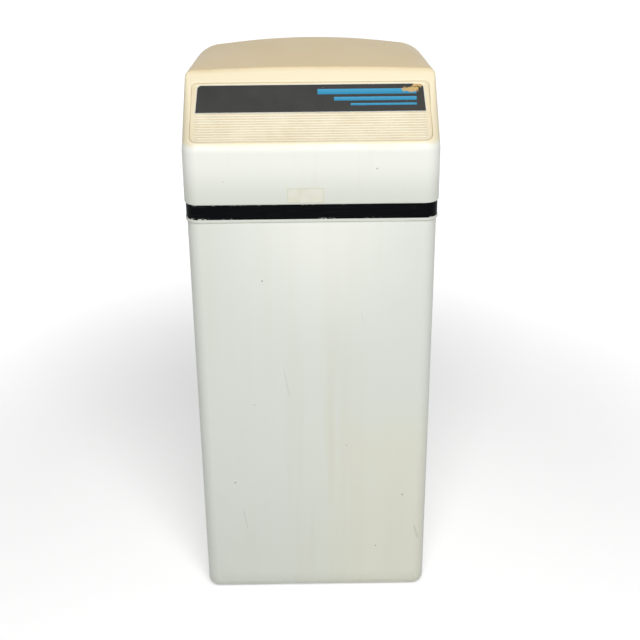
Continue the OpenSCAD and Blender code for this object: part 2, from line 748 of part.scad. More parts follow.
module motor_pinion() color("darkgray") translate([motor_x, vessel_y, 0]) {
    translate([0, 0, gear_z]) rotate(180 / motor_teeth) gear(motor_teeth, drive_module, gear_t);
    translate([0, 0, gear_z]) cylinder(r = motor_shaft_r, h = deck_top_z + motor_bore_h - 1 - gear_z);
}

module motor_ears(h) for (y = [-1, 1]) translate([0, y * (motor_r + motor_ear_r), 0]) cylinder(r = motor_ear_r, h = h);

module valve_motor() color("silver") translate([motor_x, vessel_y, deck_top_z]) difference() {
    union() {
        cylinder(r = motor_r, h = motor_h);
        translate([-motor_ear_r, -motor_r - motor_ear_r, 0])
            cube([2 * motor_ear_r, 2 * (motor_r + motor_ear_r), motor_ear_t]);
        motor_ears(motor_ear_t);
        translate([0, 0, motor_h]) cylinder(r = motor_r * 0.4, h = 3);
    }
    translate([0, 0, -eps]) cylinder(r = motor_shaft_r + run_gap, h = motor_bore_h + eps);
    for (y = [-1, 1]) translate([0, y * (motor_r + motor_ear_r), -eps])
        cylinder(r = screw_r + seat_gap, h = 2 * motor_ear_t, $fn = 24);
}

module control_deck() color("lightgray") difference() {
    union() {
        translate([(deck_min_x + deck_max_x) / 2, (deck_min_y + deck_max_y) / 2, deck_z])
            round_plate(deck_max_x - deck_min_x, deck_max_y - deck_min_y, deck_r, deck_t);
        translate([dial_x, dial_y, deck_top_z]) cylinder(r = deck_boss_r, h = dial_z - deck_top_z - seat_gap);
        translate([wheel_x, wheel_y, deck_top_z]) cylinder(r = deck_boss_r, h = wheel_z - deck_top_z - seat_gap);
    }
    translate([0, vessel_y, deck_z - eps]) cylinder(r = shaft_r + run_gap, h = 2 * deck_t);
    translate([motor_x, vessel_y, deck_z - eps]) cylinder(r = motor_shaft_r + 1, h = 2 * deck_t);
    for (y = [-1, 1]) translate([motor_x, vessel_y + y * (motor_r + motor_ear_r), deck_z - eps])
        cylinder(r = screw_r + seat_gap, h = 2 * deck_t, $fn = 24);
    translate([dial_x, dial_y, deck_z - eps]) cylinder(r = dial_shaft_r + run_gap, h = dial_z - deck_z + eps);
    translate([wheel_x, wheel_y, deck_z - eps]) cylinder(r = dial_shaft_r + run_gap, h = wheel_z - deck_z + eps);
    translate([clock_x, dial_y, deck_z - eps]) cylinder(r = clock_shaft_r + 1, h = 2 * deck_t);
    for (x = [-1, 1]) translate([clock_x, dial_y + x * (clock_r - clock_ear), deck_z - eps])
        cylinder(r = screw_r + seat_gap, h = 2 * deck_t, $fn = 24);
    post_places() translate([0, 0, deck_z - eps]) cylinder(r = screw_r + seat_gap, h = 2 * deck_t, $fn = 24);
}

module post_places() translate(valve_at)
    for (a = [45:90:315]) rotate(a) translate([post_ring_r, 0, 0]) children();

module deck_posts() color("gainsboro") post_places() translate([0, 0, valve_top_z + cover_t]) difference() {
    cylinder(r = post_r, h = post_h);
    translate([0, 0, post_h - 12]) cylinder(r = screw_r + seat_gap, h = 13, $fn = 24);
}

module clock_motor() color("silver") translate([clock_x, dial_y, deck_z - clock_h]) difference() {
    cylinder(r = clock_r, h = clock_h);
    translate([0, 0, 4]) cylinder(r = clock_shaft_r + run_gap, h = clock_h);
    for (x = [-1, 1]) translate([0, x * (clock_r - clock_ear), clock_h - 9])
        cylinder(r = screw_r + seat_gap, h = 10, $fn = 24);
}

module clock_pinion() color("ivory") translate([clock_x, dial_y, 0]) {
    translate([0, 0, dial_z]) rotate(180 / clock_teeth) gear(clock_teeth, clock_module, gear_t - 2);
    translate([0, 0, deck_z - clock_h + 5]) cylinder(r = clock_shaft_r, h = dial_z - deck_z + clock_h - 4);
}

module time_dial() color("white") translate([dial_x, dial_y, 0]) {
    face_r = clock_module * dial_teeth / 2 - 3;
    translate([0, 0, deck_z - 2]) cylinder(r = dial_shaft_r, h = dial_z - deck_z + 3);
    translate([0, 0, dial_z]) gear(dial_teeth, clock_module, gear_t - 2);
    translate([0, 0, dial_z + gear_t - 2]) difference() {
        cylinder(r = face_r, h = 3);
        for (i = [0:23]) rotate(15 * i) translate([face_r - (i % 6 == 0 ? 8 : 5), -0.5, 2.4]) cube([10, 1, 1]);
    }
    translate([0, 0, dial_z + gear_t]) cylinder(r = grip_r, h = grip_h);
    translate([-grip_r - 2, -grip_w / 2, dial_z + gear_t]) cube([2 * grip_r + 4, grip_w, grip_h + 2]);
}

module day_wheel() color("ivory") translate([wheel_x, wheel_y, 0]) difference() {
    union() {
        translate([0, 0, deck_z - 2]) cylinder(r = dial_shaft_r, h = wheel_z - deck_z + 3);
        translate([0, 0, wheel_z]) cylinder(r = wheel_r, h = wheel_t);
        translate([0, 0, wheel_z + wheel_t]) cylinder(r = 9, h = 6);
    }
    for (i = [1:pin_n]) day_pin_place(i) translate([0, 0, wheel_z - eps])
        cylinder(r = pin_r + run_gap, h = wheel_t + 2 * eps, $fn = 24);
    for (i = [0:27]) rotate(360 * i / 28) translate([wheel_r, 0, wheel_z - eps])
        cylinder(r = 1.2, h = wheel_t + 2 * eps, $fn = 16);
}

module day_pin_place(i) rotate(90 - 360 * (i - 1) / pin_n) translate([pin_ring_r, 0, 0]) children();

module day_pin(i) color("firebrick") translate([wheel_x, wheel_y, 0]) day_pin_place(i) {
    translate([0, 0, wheel_z - pin_travel]) cylinder(r = pin_r, h = wheel_t + pin_travel + 1, $fn = 24);
    translate([0, 0, wheel_z + wheel_t + seat_gap]) cylinder(r = pin_r + 1.4, h = 2.5, $fn = 24);
}

module deck_screw(l) {
    translate([0, 0, -l]) cylinder(r = screw_r, h = l + eps, $fn = 24);
    difference() {
        cylinder(r = screw_r + 1.7, h = 2.4, $fn = 24);
        translate([-4, -0.4, 1.5]) cube([8, 0.8, 2]);
    }
}

module deck_screws() color("silver") {
    for (y = [-1, 1]) translate([motor_x, vessel_y + y * (motor_r + motor_ear_r), deck_top_z + motor_ear_t])
        deck_screw(deck_t + 2 * motor_ear_t);
    for (x = [-1, 1]) translate([clock_x, dial_y + x * (clock_r - clock_ear), deck_top_z]) deck_screw(deck_t + 7);
    post_places() translate([0, 0, deck_top_z]) deck_screw(deck_t + 10);
}

module injector_body() color("gainsboro") translate([0, injector_y, port_z]) difference() {
    translate([-injector_w / 2, -injector_d, -injector_h / 2]) cube([injector_w, injector_d, injector_h]);
    translate([0, -injector_d + 6, 0]) along_y(injector_bore_r, injector_d);
    translate([0, -injector_d / 2, 0]) along_x(line_r - 2, injector_w);
    injector_screw_places() translate([0, -1, 0]) along_y(screw_r + seat_gap, injector_screw_l + 3, 24);
}

module injector_screw_places() for (x = [-1, 1], z = [-1, 1])
    translate([x * (injector_w / 2 - 6), -injector_d, z * (injector_h / 2 - 6)]) children();

module injector_cap() color("dimgray") translate([0, injector_y, port_z]) {
    translate([-injector_w / 2, -injector_d - cap_t, -injector_h / 2]) cube([injector_w, cap_t, injector_h]);
    injector_screw_places() {
        translate([0, -cap_t - 2.5, 0]) along_y(screw_r + 1.7, 3, 24);
        translate([0, -eps, 0]) along_y(screw_r, injector_screw_l, 24);
    }
}

module drain_fitting() color("gray") translate([0, vessel_y, port_z]) {
    stem_r = drain_r + 2.5;
    start_x = valve_r + 14;
    difference() {
        union() {
            translate([-drain_x, 0, 0]) along_x(stem_r, drain_x - start_x);
            translate([-drain_x, 0, 0]) sphere(r = stem_r);
            translate([-drain_x, 0, 0]) along_y(stem_r, stem_r + 4);
            translate([-drain_x, 0, 0]) along_y(drain_r, stem_r + 4 + 40);
        }
        translate([-drain_x, 0, 0]) along_x(drain_r - 2, drain_x);
        translate([-drain_x, 0, 0]) along_y(drain_r - 2, stem_r + 60);
    }
}

module bypass_body() color("dimgray") difference() {
    union() {
        translate([-block_w / 2, block_y, block_z]) cube([block_w, block_d, block_h]);
        for (x = [-port_x, port_x]) translate([x, 0, port_z]) {
            translate([0, port_end_y, 0]) along_y(flange_r, flange_t);
            translate([0, port_end_y, 0]) along_y(port_r, boss_l + eps);
            translate([0, tail_y - eps, 0]) along_y(tail_r, tail_l + eps);
        }
    }
    for (x = [-port_x, port_x]) translate([x, port_end_y - eps, port_z])
        along_y(tail_r - 3.3, tail_y + tail_l - port_end_y + 2 * eps);
    translate([-port_x, spool_y, port_z]) along_x(spool_r - 3, 2 * port_x);
    translate([0, spool_y, spool_foot_z]) cylinder(r = spool_r + run_gap, h = block_h);
}

module bypass_spool() color("firebrick") translate([0, spool_y, spool_foot_z + slip_gap]) difference() {
    union() {
        cylinder(r = spool_r, h = spool_top_z - spool_foot_z);
        translate([0, 0, spool_top_z - spool_foot_z]) cylinder(r = spool_r + 6, h = 12);
    }
    translate([0, 0, port_z - spool_foot_z - spool_travel - 7])
        tube(spool_r + eps, spool_r - 3, 12);
    for (a = [0:30:330]) rotate(a) translate([spool_r + 6.4, 0, spool_top_z - spool_foot_z - eps])
        cylinder(r = 1.4, h = 14, $fn = 16);
}

module bypass_clips() color("silver") for (x = [-port_x, port_x])
    translate([x, port_end_y - flange_t - 2, port_z]) difference() {
        along_y(flange_r + 3, 2 * flange_t + 4);
        translate([0, 2 - slip_gap, 0]) along_y(flange_r + slip_gap, 2 * flange_t + 2 * slip_gap);
        translate([0, -eps, 0]) along_y(port_r + slip_gap, 2 * flange_t + 6);
        translate([-flange_r - 4, -eps, -flange_r - 4]) cube([2 * flange_r + 8, 2 * flange_t + 6, flange_r + 4]);
    }

// Frame of the sloped panel: X across, Y up the slope, Z out of its face, from the brow's corner
module on_panel() translate([0, -hood_d / 2, brow_z]) rotate([90 - lean, 0, 0]) children();

// Round edges of the panel: the brow's corners, the crease's ends and its arch between them
module panel_ends(inset) on_panel() {
    ring_r = crease_end_r - crease_r;
    steps = 5;
    for (i = [1 - steps:steps - 1])
        translate([(crease_w / 2 - crease_end_r) * i / steps,
            crease_s + crease_arch * (1 - pow(i / steps, 2)), -crease_r])
        sphere(r = max(0.2, crease_r - inset), $fn = 16);
    for (x = [-1, 1]) {
        translate([x * (hood_w / 2 - hood_r), hood_r * tan(lean / 2), -hood_r])
            sphere(r = hood_r - inset, $fn = hull_fn);
        translate([x * (crease_w / 2 - crease_end_r), crease_s - ring_r, -crease_r])
            rotate_extrude($fn = hull_fn)
            translate([ring_r - max(0, inset - crease_r), 0])
            circle(r = max(0.2, crease_r - inset), $fn = 16);
    }
}

// Points of the roof's arch: level from its front to the shoulders, then rolled down the rear
function roof_points(inset, across = 8, down = 4) =
    let (reach = shoulder_r - inset, rise = crown_h + shoulder_drop)
    [for (k = [-1:down], i = [-across:across])
        let (roll = 15 * max(0, k), y = k < 0 ? -shoulder_y : shoulder_y)
        [shoulder_x * i / across, y + reach * sin(roll),
            crease_z - inset + crown_h - rise * pow(i / across, 2) - reach * (1 - cos(roll))]];

// The hood's form above the band, drawn in by an inset, with the panel set back
module hood_form(inset, set_back) hull() {
    on_panel() translate([0, 0, -set_back]) on_panel_undo() panel_ends(inset);
    for (x = [-1, 1]) {
        for (y = [-1, 1])
            translate([x * (hood_w / 2 - hood_r), y * (hood_d / 2 - hood_r), skirt_z - inset])
            cylinder(r = hood_r - inset, h = 1, $fn = hull_fn);
        translate([x * (hood_w / 2 - hood_r), hood_d / 2 - hood_r, rear_top_z - hood_r])
            sphere(r = hood_r - inset, $fn = hull_fn);
        translate([x * shoulder_x, shoulder_y, crease_z - shoulder_drop - shoulder_r])
            sphere(r = shoulder_r - inset, $fn = hull_fn);
    }
    points = roof_points(inset);
    polyhedron(points, [for (i = [2:len(points) - 1]) [i - 2, i - 1, i]]);
}

module on_panel_undo() rotate([lean - 90, 0, 0]) translate([0, hood_d / 2, -brow_z]) children();

// A ring of the hood's plan that stands out past the rim
module hood_plan(over, z, h) translate([0, 0, z])
    round_plate(cabinet_w + 2 * over, cabinet_d + 2 * over, corner_r + over, h);

module rear_notch(grow) translate([-notch_half_w - grow, 0, rim_z - 2 * tongue_h])
    cube([2 * (notch_half_w + grow), hood_d, 2 * tongue_h + notch_h + grow]);

// Right half of the recess's outline, drawn in by a gap: round its lower corner, then its upper one
function recess_half(gap, steps = 8) =
    let (taper = atan((recess_low_w - recess_high_w) / 2 / recess_len))
    [for (corner = [[recess_low_r, -90, taper], [recess_r, taper, 90]], i = [0:steps])
        let (
            reach = corner[0] + gap,
            y = corner[1] < 0 ? reach : recess_len - reach,
            turn = corner[1] + (corner[2] - corner[1]) * i / steps
        )
        [recess_low_w / 2 - (reach + y * sin(taper)) / cos(taper) + corner[0] * cos(turn),
            y + corner[0] * sin(turn)]];

module recess_outline(gap) {
    right = recess_half(gap);
    polygon(concat(right, [for (i = [len(right) - 1:-1:0]) [-right[i][0], right[i][1]]]));
}

module cover_shell() color("whitesmoke") difference() {
    union() {
        hood_form(0, 0);
        hood_plan(lip_over, rim_z, lip_h);
        hood_plan(band_over - band_t, band_z - eps, band_h + 2 * eps);
        hood_plan(-cabinet_wall - slip_gap - 0.7, rim_z - tongue_h, tongue_h + eps);
    }
    hood_form(hood_wall, recess_depth + 1);
    hood_plan(-hood_wall, rim_z + 4, band_z + band_h - rim_z);
    hood_plan(-ledge_w, rim_z - tongue_h - eps, tongue_h + 5);
    on_panel() translate([0, recess_low_margin, -recess_depth])
        linear_extrude(2 * recess_depth) recess_outline(0);
    rear_notch(0);
}

module trim_band() color("black") difference() {
    hood_plan(band_over, band_z + seat_gap, band_h - 2 * seat_gap);
    hood_plan(band_over - band_t + seat_gap, band_z - eps, band_h + 2 * eps);
    rear_notch(0);
}

module on_recess(z) on_panel() translate([0, recess_low_margin, z - recess_depth]) children();

module fascia() color("cornsilk") on_recess(0) {
    foot = recess_len - plate_h - insert_gap;
    pitch = foot / (rib_n + 0.5);
    linear_extrude(insert_t) recess_outline(insert_gap);
    for (i = [1:rib_n]) {
        y = pitch * i - pitch * 0.25;
        drop = max(0, recess_low_r - max(0, y - rib_r));
        bend = recess_low_r - sqrt(recess_low_r * recess_low_r - drop * drop);
        w = recess_low_w - (recess_low_w - recess_high_w) * y / recess_len - 2 * bend;
        translate([-w / 2 + 3, y, insert_t - rib_r + rib_h]) along_x(rib_r, w - 6, 24);
    }
}

module nameplate() color("darkslategray") on_recess(insert_t) linear_extrude(plate_t) {
    low = recess_len - plate_h;
    intersection() {
        recess_outline(2 * insert_gap);
        translate([-recess_low_w / 2, low]) square([recess_low_w, plate_h]);
    }
}

salt_tank();
salt_grid();
brine_well();
brine_well_cap();
brine_valve();
float_rod();
float();
brine_pipe();
air_check();
air_check_ball();
brine_line();
brine_nut();
overflow_elbow();
overflow_nut();
cord_gland();
mineral_tank();
tank_foot();
resin_bed();
riser_tube();
lower_distributor();
upper_distributor();
neck_o_ring();
valve_body();
valve_seat();
rotor_disc();
thrust_washer();
valve_cover();
shaft_seal();
cover_screws();
drive_gear();
cycle_knob();
motor_pinion();
valve_motor();
control_deck();
deck_posts();
clock_motor();
clock_pinion();
time_dial();
day_wheel();
day_pin(1);  // day_pin_1
day_pin(2);  // day_pin_2
day_pin(3);  // day_pin_3
day_pin(4);  // day_pin_4
day_pin(5);  // day_pin_5
day_pin(6);  // day_pin_6
day_pin(7);  // day_pin_7
deck_screws();
injector_body();
injector_cap();
drain_fitting();
bypass_body();
bypass_spool();
bypass_clips();
cover_shell();
trim_band();
fascia();
nameplate();
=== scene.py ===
"""Looks of a cabinet water softener, built around its packed solids."""

import json
import math

import bmesh
import bpy
from bpy.props import FloatProperty, FloatVectorProperty, IntProperty, PointerProperty
from mathutils import Matrix, Vector


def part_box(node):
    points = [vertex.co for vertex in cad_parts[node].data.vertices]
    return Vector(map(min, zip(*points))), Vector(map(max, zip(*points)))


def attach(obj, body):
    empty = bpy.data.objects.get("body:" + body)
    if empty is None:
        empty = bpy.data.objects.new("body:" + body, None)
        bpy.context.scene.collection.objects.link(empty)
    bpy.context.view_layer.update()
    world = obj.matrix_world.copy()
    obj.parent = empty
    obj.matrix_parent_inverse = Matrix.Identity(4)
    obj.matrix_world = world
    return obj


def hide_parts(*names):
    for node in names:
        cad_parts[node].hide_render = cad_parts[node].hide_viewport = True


bl_info = {
    "name": "Cabinet water softener",
    "version": (1, 0, 0),
    "blender": (4, 5, 0),
    "location": "View3D > Sidebar > Softener",
    "description": "Shells, finishes and stage of a cabinet water softener",
    "category": "Add Mesh",
}

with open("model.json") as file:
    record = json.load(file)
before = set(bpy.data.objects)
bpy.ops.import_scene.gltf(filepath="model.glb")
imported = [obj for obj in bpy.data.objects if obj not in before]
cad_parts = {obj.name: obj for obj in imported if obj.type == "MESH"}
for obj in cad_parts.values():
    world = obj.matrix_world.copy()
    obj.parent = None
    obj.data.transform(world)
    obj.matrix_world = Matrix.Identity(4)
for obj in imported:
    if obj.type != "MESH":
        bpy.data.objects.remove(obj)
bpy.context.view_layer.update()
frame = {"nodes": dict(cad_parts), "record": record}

TANK_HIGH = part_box("salt_tank")[1]
HOOD_LOW, HOOD_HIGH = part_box("cover_shell")
BAND_LOW, BAND_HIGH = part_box("trim_band")
DIAL_LOW, DIAL_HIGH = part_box("time_dial")
WHEEL_LOW, WHEEL_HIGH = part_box("day_wheel")
VESSEL_LOW, VESSEL_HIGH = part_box("mineral_tank")

# Tolerances, play and walls
SHARP_ANGLE = math.radians(35)
FLAT_ANGLE = math.radians(0.05)
TINY = 0.00002
BAND_PLAY = 0.0001
TONGUE_PLAY = 0.001
PANEL_WALL = 0.001
HOLE_DEPTH = 0.04
STAND_UP = Matrix.Rotation(math.pi / 2, 4, "X")
CROWN_FRONT = 0.45
REAR_ROLL = math.radians(60)

# Steps of the round shapes
CREASE_STEPS = 24
CREASE_SEGMENTS = 24
BEND_SEGMENTS = 64
SHOULDER_SEGMENTS = 96
TUBE_SEGMENTS = 16
RING_SEGMENTS = 48
ROOF_ACROSS, ROOF_BACK = 48, 40
QUARTER_STEPS = 4
CORNER_STEPS = 12
BASE_STEPS = 8
EDGE_STEPS = 3
NOTCH_STEPS = 6
BAND_STEPS = 16
LOW_CORNER_STEPS = 10
HIGH_CORNER_STEPS = 8
PLATE_STEPS = 2
RIB_STEPS = 6
RIB_COLUMNS = 5

# Print and finishes
HOURS = ("3", "6", "9", "12", "15", "18", "21", "24")
DAYS = ("2", "3", "4", "5", "6", "7", "1")
GRAIN_SCALE = 900.0
WAVE_SCALE = 7.0
BEAD_SCALE = 1100.0
WINDING_STRANDS = 24.0
WINDING_LEAD = 170.0
SPOT_SOFT = 0.4
STROKE_CORE = 0.3
STROKE_FADE = 0.2
SPECK_SHARE = 0.6
SCRATCH_SHARE = 0.16
MARK_DEPTHS = (0.020, 0.012)
PRINT_SOFT = 0.0002
WORN_SOFT = 0.0006

# Stage, with size and place of each lamp
SENSOR_MM = 36.0
FRONT_LAMP = (1.4, (0.22, -2.05, 2.5))
SIDE_LAMP = (1.5, (-2.2, -1.6, 1.5))
LAMP_AIM = (0.0, 0.0, 0.6)
GLOW_REACH = (0.6, 1.8)
FLOOR_HALF = 14.0
FLOOR_NEAR = (0.40, 0.40, 0.40)
FLOOR_FAR = (0.84, 0.84, 0.84)

# Places on the front, as x and z, with a radius or a width
SPECKS = (
    (-0.089, 0.671, 0.0015), (-0.151, 0.250, 0.0016), (0.117, 0.100, 0.0014), (0.167, 0.218, 0.0016),
    (0.060, 0.330, 0.0010), (-0.110, 0.420, 0.0009), (0.111, 0.879, 0.0013), (-0.150, 0.858, 0.0008),
)
SCRATCHES = (
    ((-0.138, 0.193), (-0.130, 0.137), 0.0012),
    ((-0.055, 0.503), (-0.044, 0.430), 0.0010),
    ((0.190, 0.151), (0.200, 0.113), 0.0026),
    ((0.085, 0.610), (0.092, 0.585), 0.0007),
)
# Stripes of the label plate: lower edge, upper edge and left end, from the plate's lower edge and its middle
STRIPES = ((0.0335, 0.0435, 0.012), (0.0215, 0.0285, 0.040), (0.0125, 0.0165, 0.068))
STRIPE_END = 0.180
# Worn places of the label plate: left, right, lower and upper edge
WORN = ((0.1745, 0.1905, 0.0470, 0.0540), (0.1570, 0.1835, 0.0375, 0.0455))


# Properties

def linear(*srgb):
    """A linear colour from sRGB bytes"""
    shares = [value / 255 for value in srgb]
    return tuple(s / 12.92 if s < 0.04045 else ((s + 0.055) / 1.055) ** 2.4 for s in shares)


PLATE_FADED = linear(72, 72, 73)
INK_FADED = linear(92, 94, 98)


def measure(name, description, default, **kind):
    """A number that a user may change"""
    return FloatProperty(name=name, description=description, default=default, **kind)


def length(name, description, default):
    """A length in metres that a user may change"""
    return measure(name, description, default, unit="LENGTH", precision=5)


def colour(name, description, *srgb):
    """A colour that a user may change, written as sRGB bytes"""
    return FloatVectorProperty(
        name=name, description=description, default=linear(*srgb), min=0, max=1, subtype="COLOR"
    )


class CabinetSizes(bpy.types.PropertyGroup):
    """Sizes of the cabinet's shell"""

    draft: length("Draft", "How far each side leans in from rim to floor", 0.004)
    wall: length("Wall", "Thickness of the wall", 0.004)
    corner: length("Corner radius", "Radius of the upright corners", 0.022)
    base: length("Base radius", "Radius round the edge of the floor", 0.020)
    rim_round: length("Rim rounding", "Rounding of the rim's edges", 0.0014)
    overflow_hole: length("Overflow hole", "Radius of the hole for the overflow", 0.0093)
    gland_hole: length("Gland hole", "Radius of the hole for the power lead's gland", 0.0073)


class HoodSizes(bpy.types.PropertyGroup):
    """Sizes of the lift-off hood"""

    wall: length("Wall", "Thickness of the wall", 0.004)
    lip_over: length("Lip", "How far the lower lip stands out past the rim", 0.0025)
    seat_over: length("Band seat", "How far the band's seat stands out past the rim", 0.0005)
    skirt_edge: length("Skirt edge", "Rounding of the skirt's lower edge", 0.0025)
    skirt: length("Skirt", "Height of the skirt from the band to the brow", 0.102)
    panel_rise: length("Panel rise", "Rise of the sloped panel", 0.107)
    panel_run: length("Panel run", "Run of the sloped panel towards the rear", 0.100)
    crease_width: length("Crease width", "Width at the crease above the panel", 0.428)
    crease: length("Crease radius", "Radius of the crease", 0.004)
    crease_end: length("Crease end radius", "Radius of the crease's two ends", 0.013)
    crease_arch: length("Crease arch", "Rise of the crease's middle up the slope", 0.005)
    crown: length("Crown", "Height of the roof's crown above the crease", 0.006)
    shoulder: length("Shoulder radius", "Radius of the rear shoulders", 0.060)
    shoulder_drop: length("Shoulder drop", "How far the shoulders lie under the crease", 0.005)
    shoulder_y: length("Shoulder place", "Distance of the shoulders behind the middle", 0.070)
    rear_drop: length("Rear drop", "How far the rear edge lies under the brow", 0.010)
    notch_half: length("Notch half width", "Half width of the pipe notch", 0.110)
    notch_top: length("Notch height", "Height of the pipe notch over the rim", 0.092)
    notch_round: length("Notch rounding", "Radius of the pipe notch's upper corners", 0.006)
    lip_round: length("Lip rounding", "Rounding of the lip and the tongue", 0.0008)
    band_edge: length("Band rounding", "Rounding of the band's edges", 0.0004)


class PanelSizes(bpy.types.PropertyGroup):
    """Sizes of the sloped panel's recess, insert and label plate"""

    depth: length("Recess depth", "Depth of the recess", 0.004)
    low_width: length("Lower width", "Width of the recess at its lower edge", 0.410)
    high_width: length("Upper width", "Width of the recess at its upper edge", 0.403)
    low_margin: length("Lower margin", "Frame between the recess and the brow", 0.011)
    high_margin: length("Upper margin", "Frame between the recess and the crease", 0.0245)
    corner: length("Upper corner radius", "Radius of the recess's upper corners", 0.008)
    low_corner: length("Lower corner radius", "Radius of the recess's lower corners", 0.014)
    edge: length("Edge rounding", "Rounding of the recess's rim", 0.0024)
    gap: length("Gap", "Play round the insert and the label plate", 0.0002)
    insert: length("Insert", "Thickness of the ribbed insert", 0.0022)
    ribs: IntProperty(name="Ribs", description="Number of ribs under the label plate", default=11)
    rib_height: length("Rib height", "Height of a rib over the insert", 0.0009)
    rib_radius: length("Rib radius", "Radius of a rib", 0.0015)
    rib_margin: length("Rib margin", "Plain strip beside the ribs", 0.0072)
    plate: length("Plate height", "Height of the label plate", 0.053)
    plate_drop: length("Plate drop", "Plain strip over the label plate", 0.0035)
    plate_low: length("Plate lower width", "Width of the label plate at its lower edge", 0.3925)
    plate_high: length("Plate upper width", "Width of the label plate at its upper edge", 0.3855)
    # The pale border round the print is a painted highlight of the lit rim
    plate_highlight_border: length("Plate border", "Width of the pale border round the print", 0.0011)
    plate_thick: length("Plate thickness", "Thickness of the label plate", 0.0009)


class StickerSizes(bpy.types.PropertyGroup):
    """Sizes of the blank sticker on the skirt"""

    width: length("Width", "Width of the sticker", 0.0635)
    height: length("Height", "Height of the sticker", 0.0270)
    film: length("Film", "Thickness of the film", 0.0002)
    left: length("Left edge", "Place of the left edge from the middle", -0.0420)
    low: length("Lower edge", "Height of the lower edge over the band", 0.0036)
    border: length("Border", "Width of the printed border", 0.0007)


class DialSizes(bpy.types.PropertyGroup):
    """Sizes of the numbers on the time dial and the day wheel"""

    hour_ring: length("Hour ring", "Radius of the ring of hours", 0.0170)
    hour_size: length("Hour size", "Height of the hours", 0.0052)
    face_drop: length("Face drop", "How far the dial's face lies under its grip's top", 0.0130)
    day_ring: length("Day ring", "Radius of the ring of days", 0.0128)
    day_size: length("Day size", "Height of the days", 0.0046)
    hub_drop: length("Hub drop", "How far the wheel's face lies under its hub's top", 0.0060)
    film: length("Film", "Thickness of the print", 0.00015)


class ShellColours(bpy.types.PropertyGroup):
    """Colours of what shows from outside"""

    white: colour("White", "Moulded white plastic", 224, 228, 220)
    # Clean white is the hood's own white and also the painted highlight on the cabinet's front, along the
    # hood's brow and round the label plate
    clean: colour("Clean white", "White plastic where it stayed clean", 240, 242, 234)
    # Dull white is greyed plastic and also painted shade low on the cabinet and down the hood's skirt
    dull: colour("Dull white", "White plastic that has greyed", 216, 219, 209)
    warm: colour("Warm white", "White plastic with a yellow cast", 230, 230, 211)
    cream: colour("Cream", "White plastic that has yellowed", 238, 226, 194)
    tan: colour("Tan", "White plastic that has yellowed most", 222, 199, 152)
    stain: colour("Stain", "Water stains", 214, 207, 178)
    dirt: colour("Dirt", "Specks and scuffs", 78, 74, 64)
    # Grooves: grime, also painted shade in the grooves between the ribs and along the recess's rim
    grime_and_shade: colour("Grooves", "Grime between the ribs", 172, 156, 122)
    band: colour("Band", "Black band", 6, 9, 11)
    chip: colour("Chips", "Pale chips along the band's edge", 205, 206, 198)
    plate: colour("Label plate", "Printed ground of the label plate", 43, 43, 40)
    stripe: colour("Stripes", "Printed stripes of the label plate", 42, 134, 174)
    stripe_pale: colour("Pale stripes", "Upper edge of the stripes", 70, 155, 194)
    worn: colour("Worn print", "Metal film where the print has worn off", 172, 144, 94)
    sticker: colour("Sticker", "Aged film of the blank sticker", 224, 225, 212)
    border: colour("Sticker border", "Printed border of the blank sticker", 200, 194, 162)
    ink: colour("Ink", "Numbers of the dial and the day wheel", 34, 36, 40)


class StageSettings(bpy.types.PropertyGroup):
    """Camera and light"""

    lens: measure("Lens", "Focal length in millimetres", 74.05, unit="CAMERA")
    distance: length("Distance", "Level distance from the middle to the camera", 2.3252)
    height: length("Camera height", "Height of the camera over the floor", 1.6312)
    azimuth: measure("Azimuth", "Turn of the camera towards the right", math.radians(-0.52), subtype="ANGLE")
    pitch: measure("Pitch", "How far the camera looks down", math.radians(26.19), subtype="ANGLE")
    roll: measure("Roll", "Roll of the camera", math.radians(-0.474), subtype="ANGLE")
    aside: length("Aside", "Sideways shift of the camera", 0.0144)
    key: measure("Key light", "Power of the front light in watts", 56.0, unit="POWER")
    fill: measure("Fill light", "Power of the side light in watts", 1.0, unit="POWER")
    sky: measure("Sky", "Strength of the even light from all sides", 0.24)
    floor: colour("Floor", "Pale floor", 240, 240, 240)


# Shader sockets

def operation(name, flipped=False):
    """An operator of a wire: it adds a Math node"""

    def act(wire, other=0.0):
        pair = (other, wire) if flipped else (wire, other)
        return wire.finish.node("ShaderNodeMath", {"operation": name}, dict(enumerate(pair)))

    return act


class Wire:
    """A socket of a finish; arithmetic on it adds Math nodes"""

    def __init__(self, finish, socket):
        self.finish = finish
        self.socket = socket

    __add__ = __radd__ = operation("ADD")
    __mul__ = __rmul__ = operation("MULTIPLY")
    __sub__ = operation("SUBTRACT")
    __rsub__ = operation("SUBTRACT", flipped=True)
    __truediv__ = operation("DIVIDE")
    __rtruediv__ = operation("DIVIDE", flipped=True)
    __pow__ = operation("POWER")
    __abs__ = operation("ABSOLUTE")
    most = operation("MAXIMUM")
    sine = operation("SINE")
    angle = operation("ARCTAN2")


class Nodes:
    """The nodes of a material or of the world, in the making"""

    def __init__(self, owner):
        owner.use_nodes = True
        self.owner = owner
        self.tree = owner.node_tree
        self.tree.nodes.clear()

    def node(self, kind, settings=None, sockets=None, output=0):
        """Adds a node: its settings come first, then the values or links of its sockets"""
        made = self.tree.nodes.new(kind)
        for name, value in (settings or {}).items():
            setattr(made, name, value)
        for name, value in (sockets or {}).items():
            self.feed(made.inputs[name], value)
        return made if output is None else Wire(self, made.outputs[output])

    def feed(self, socket, value):
        if isinstance(value, Wire):
            self.tree.links.new(value.socket, socket)
        elif socket.type == "RGBA":
            socket.default_value = (*value[:3], 1.0)
        else:
            socket.default_value = value

    def seen(self):
        """1 for what the camera looks at, also in a mirror or through glass"""
        paths = self.node("ShaderNodeLightPath", output=None)
        camera, mirror, glass = [
            Wire(self, paths.outputs[f"Is {ray} Ray"]) for ray in ("Camera", "Glossy", "Transmission")
        ]
        return camera + mirror + glass


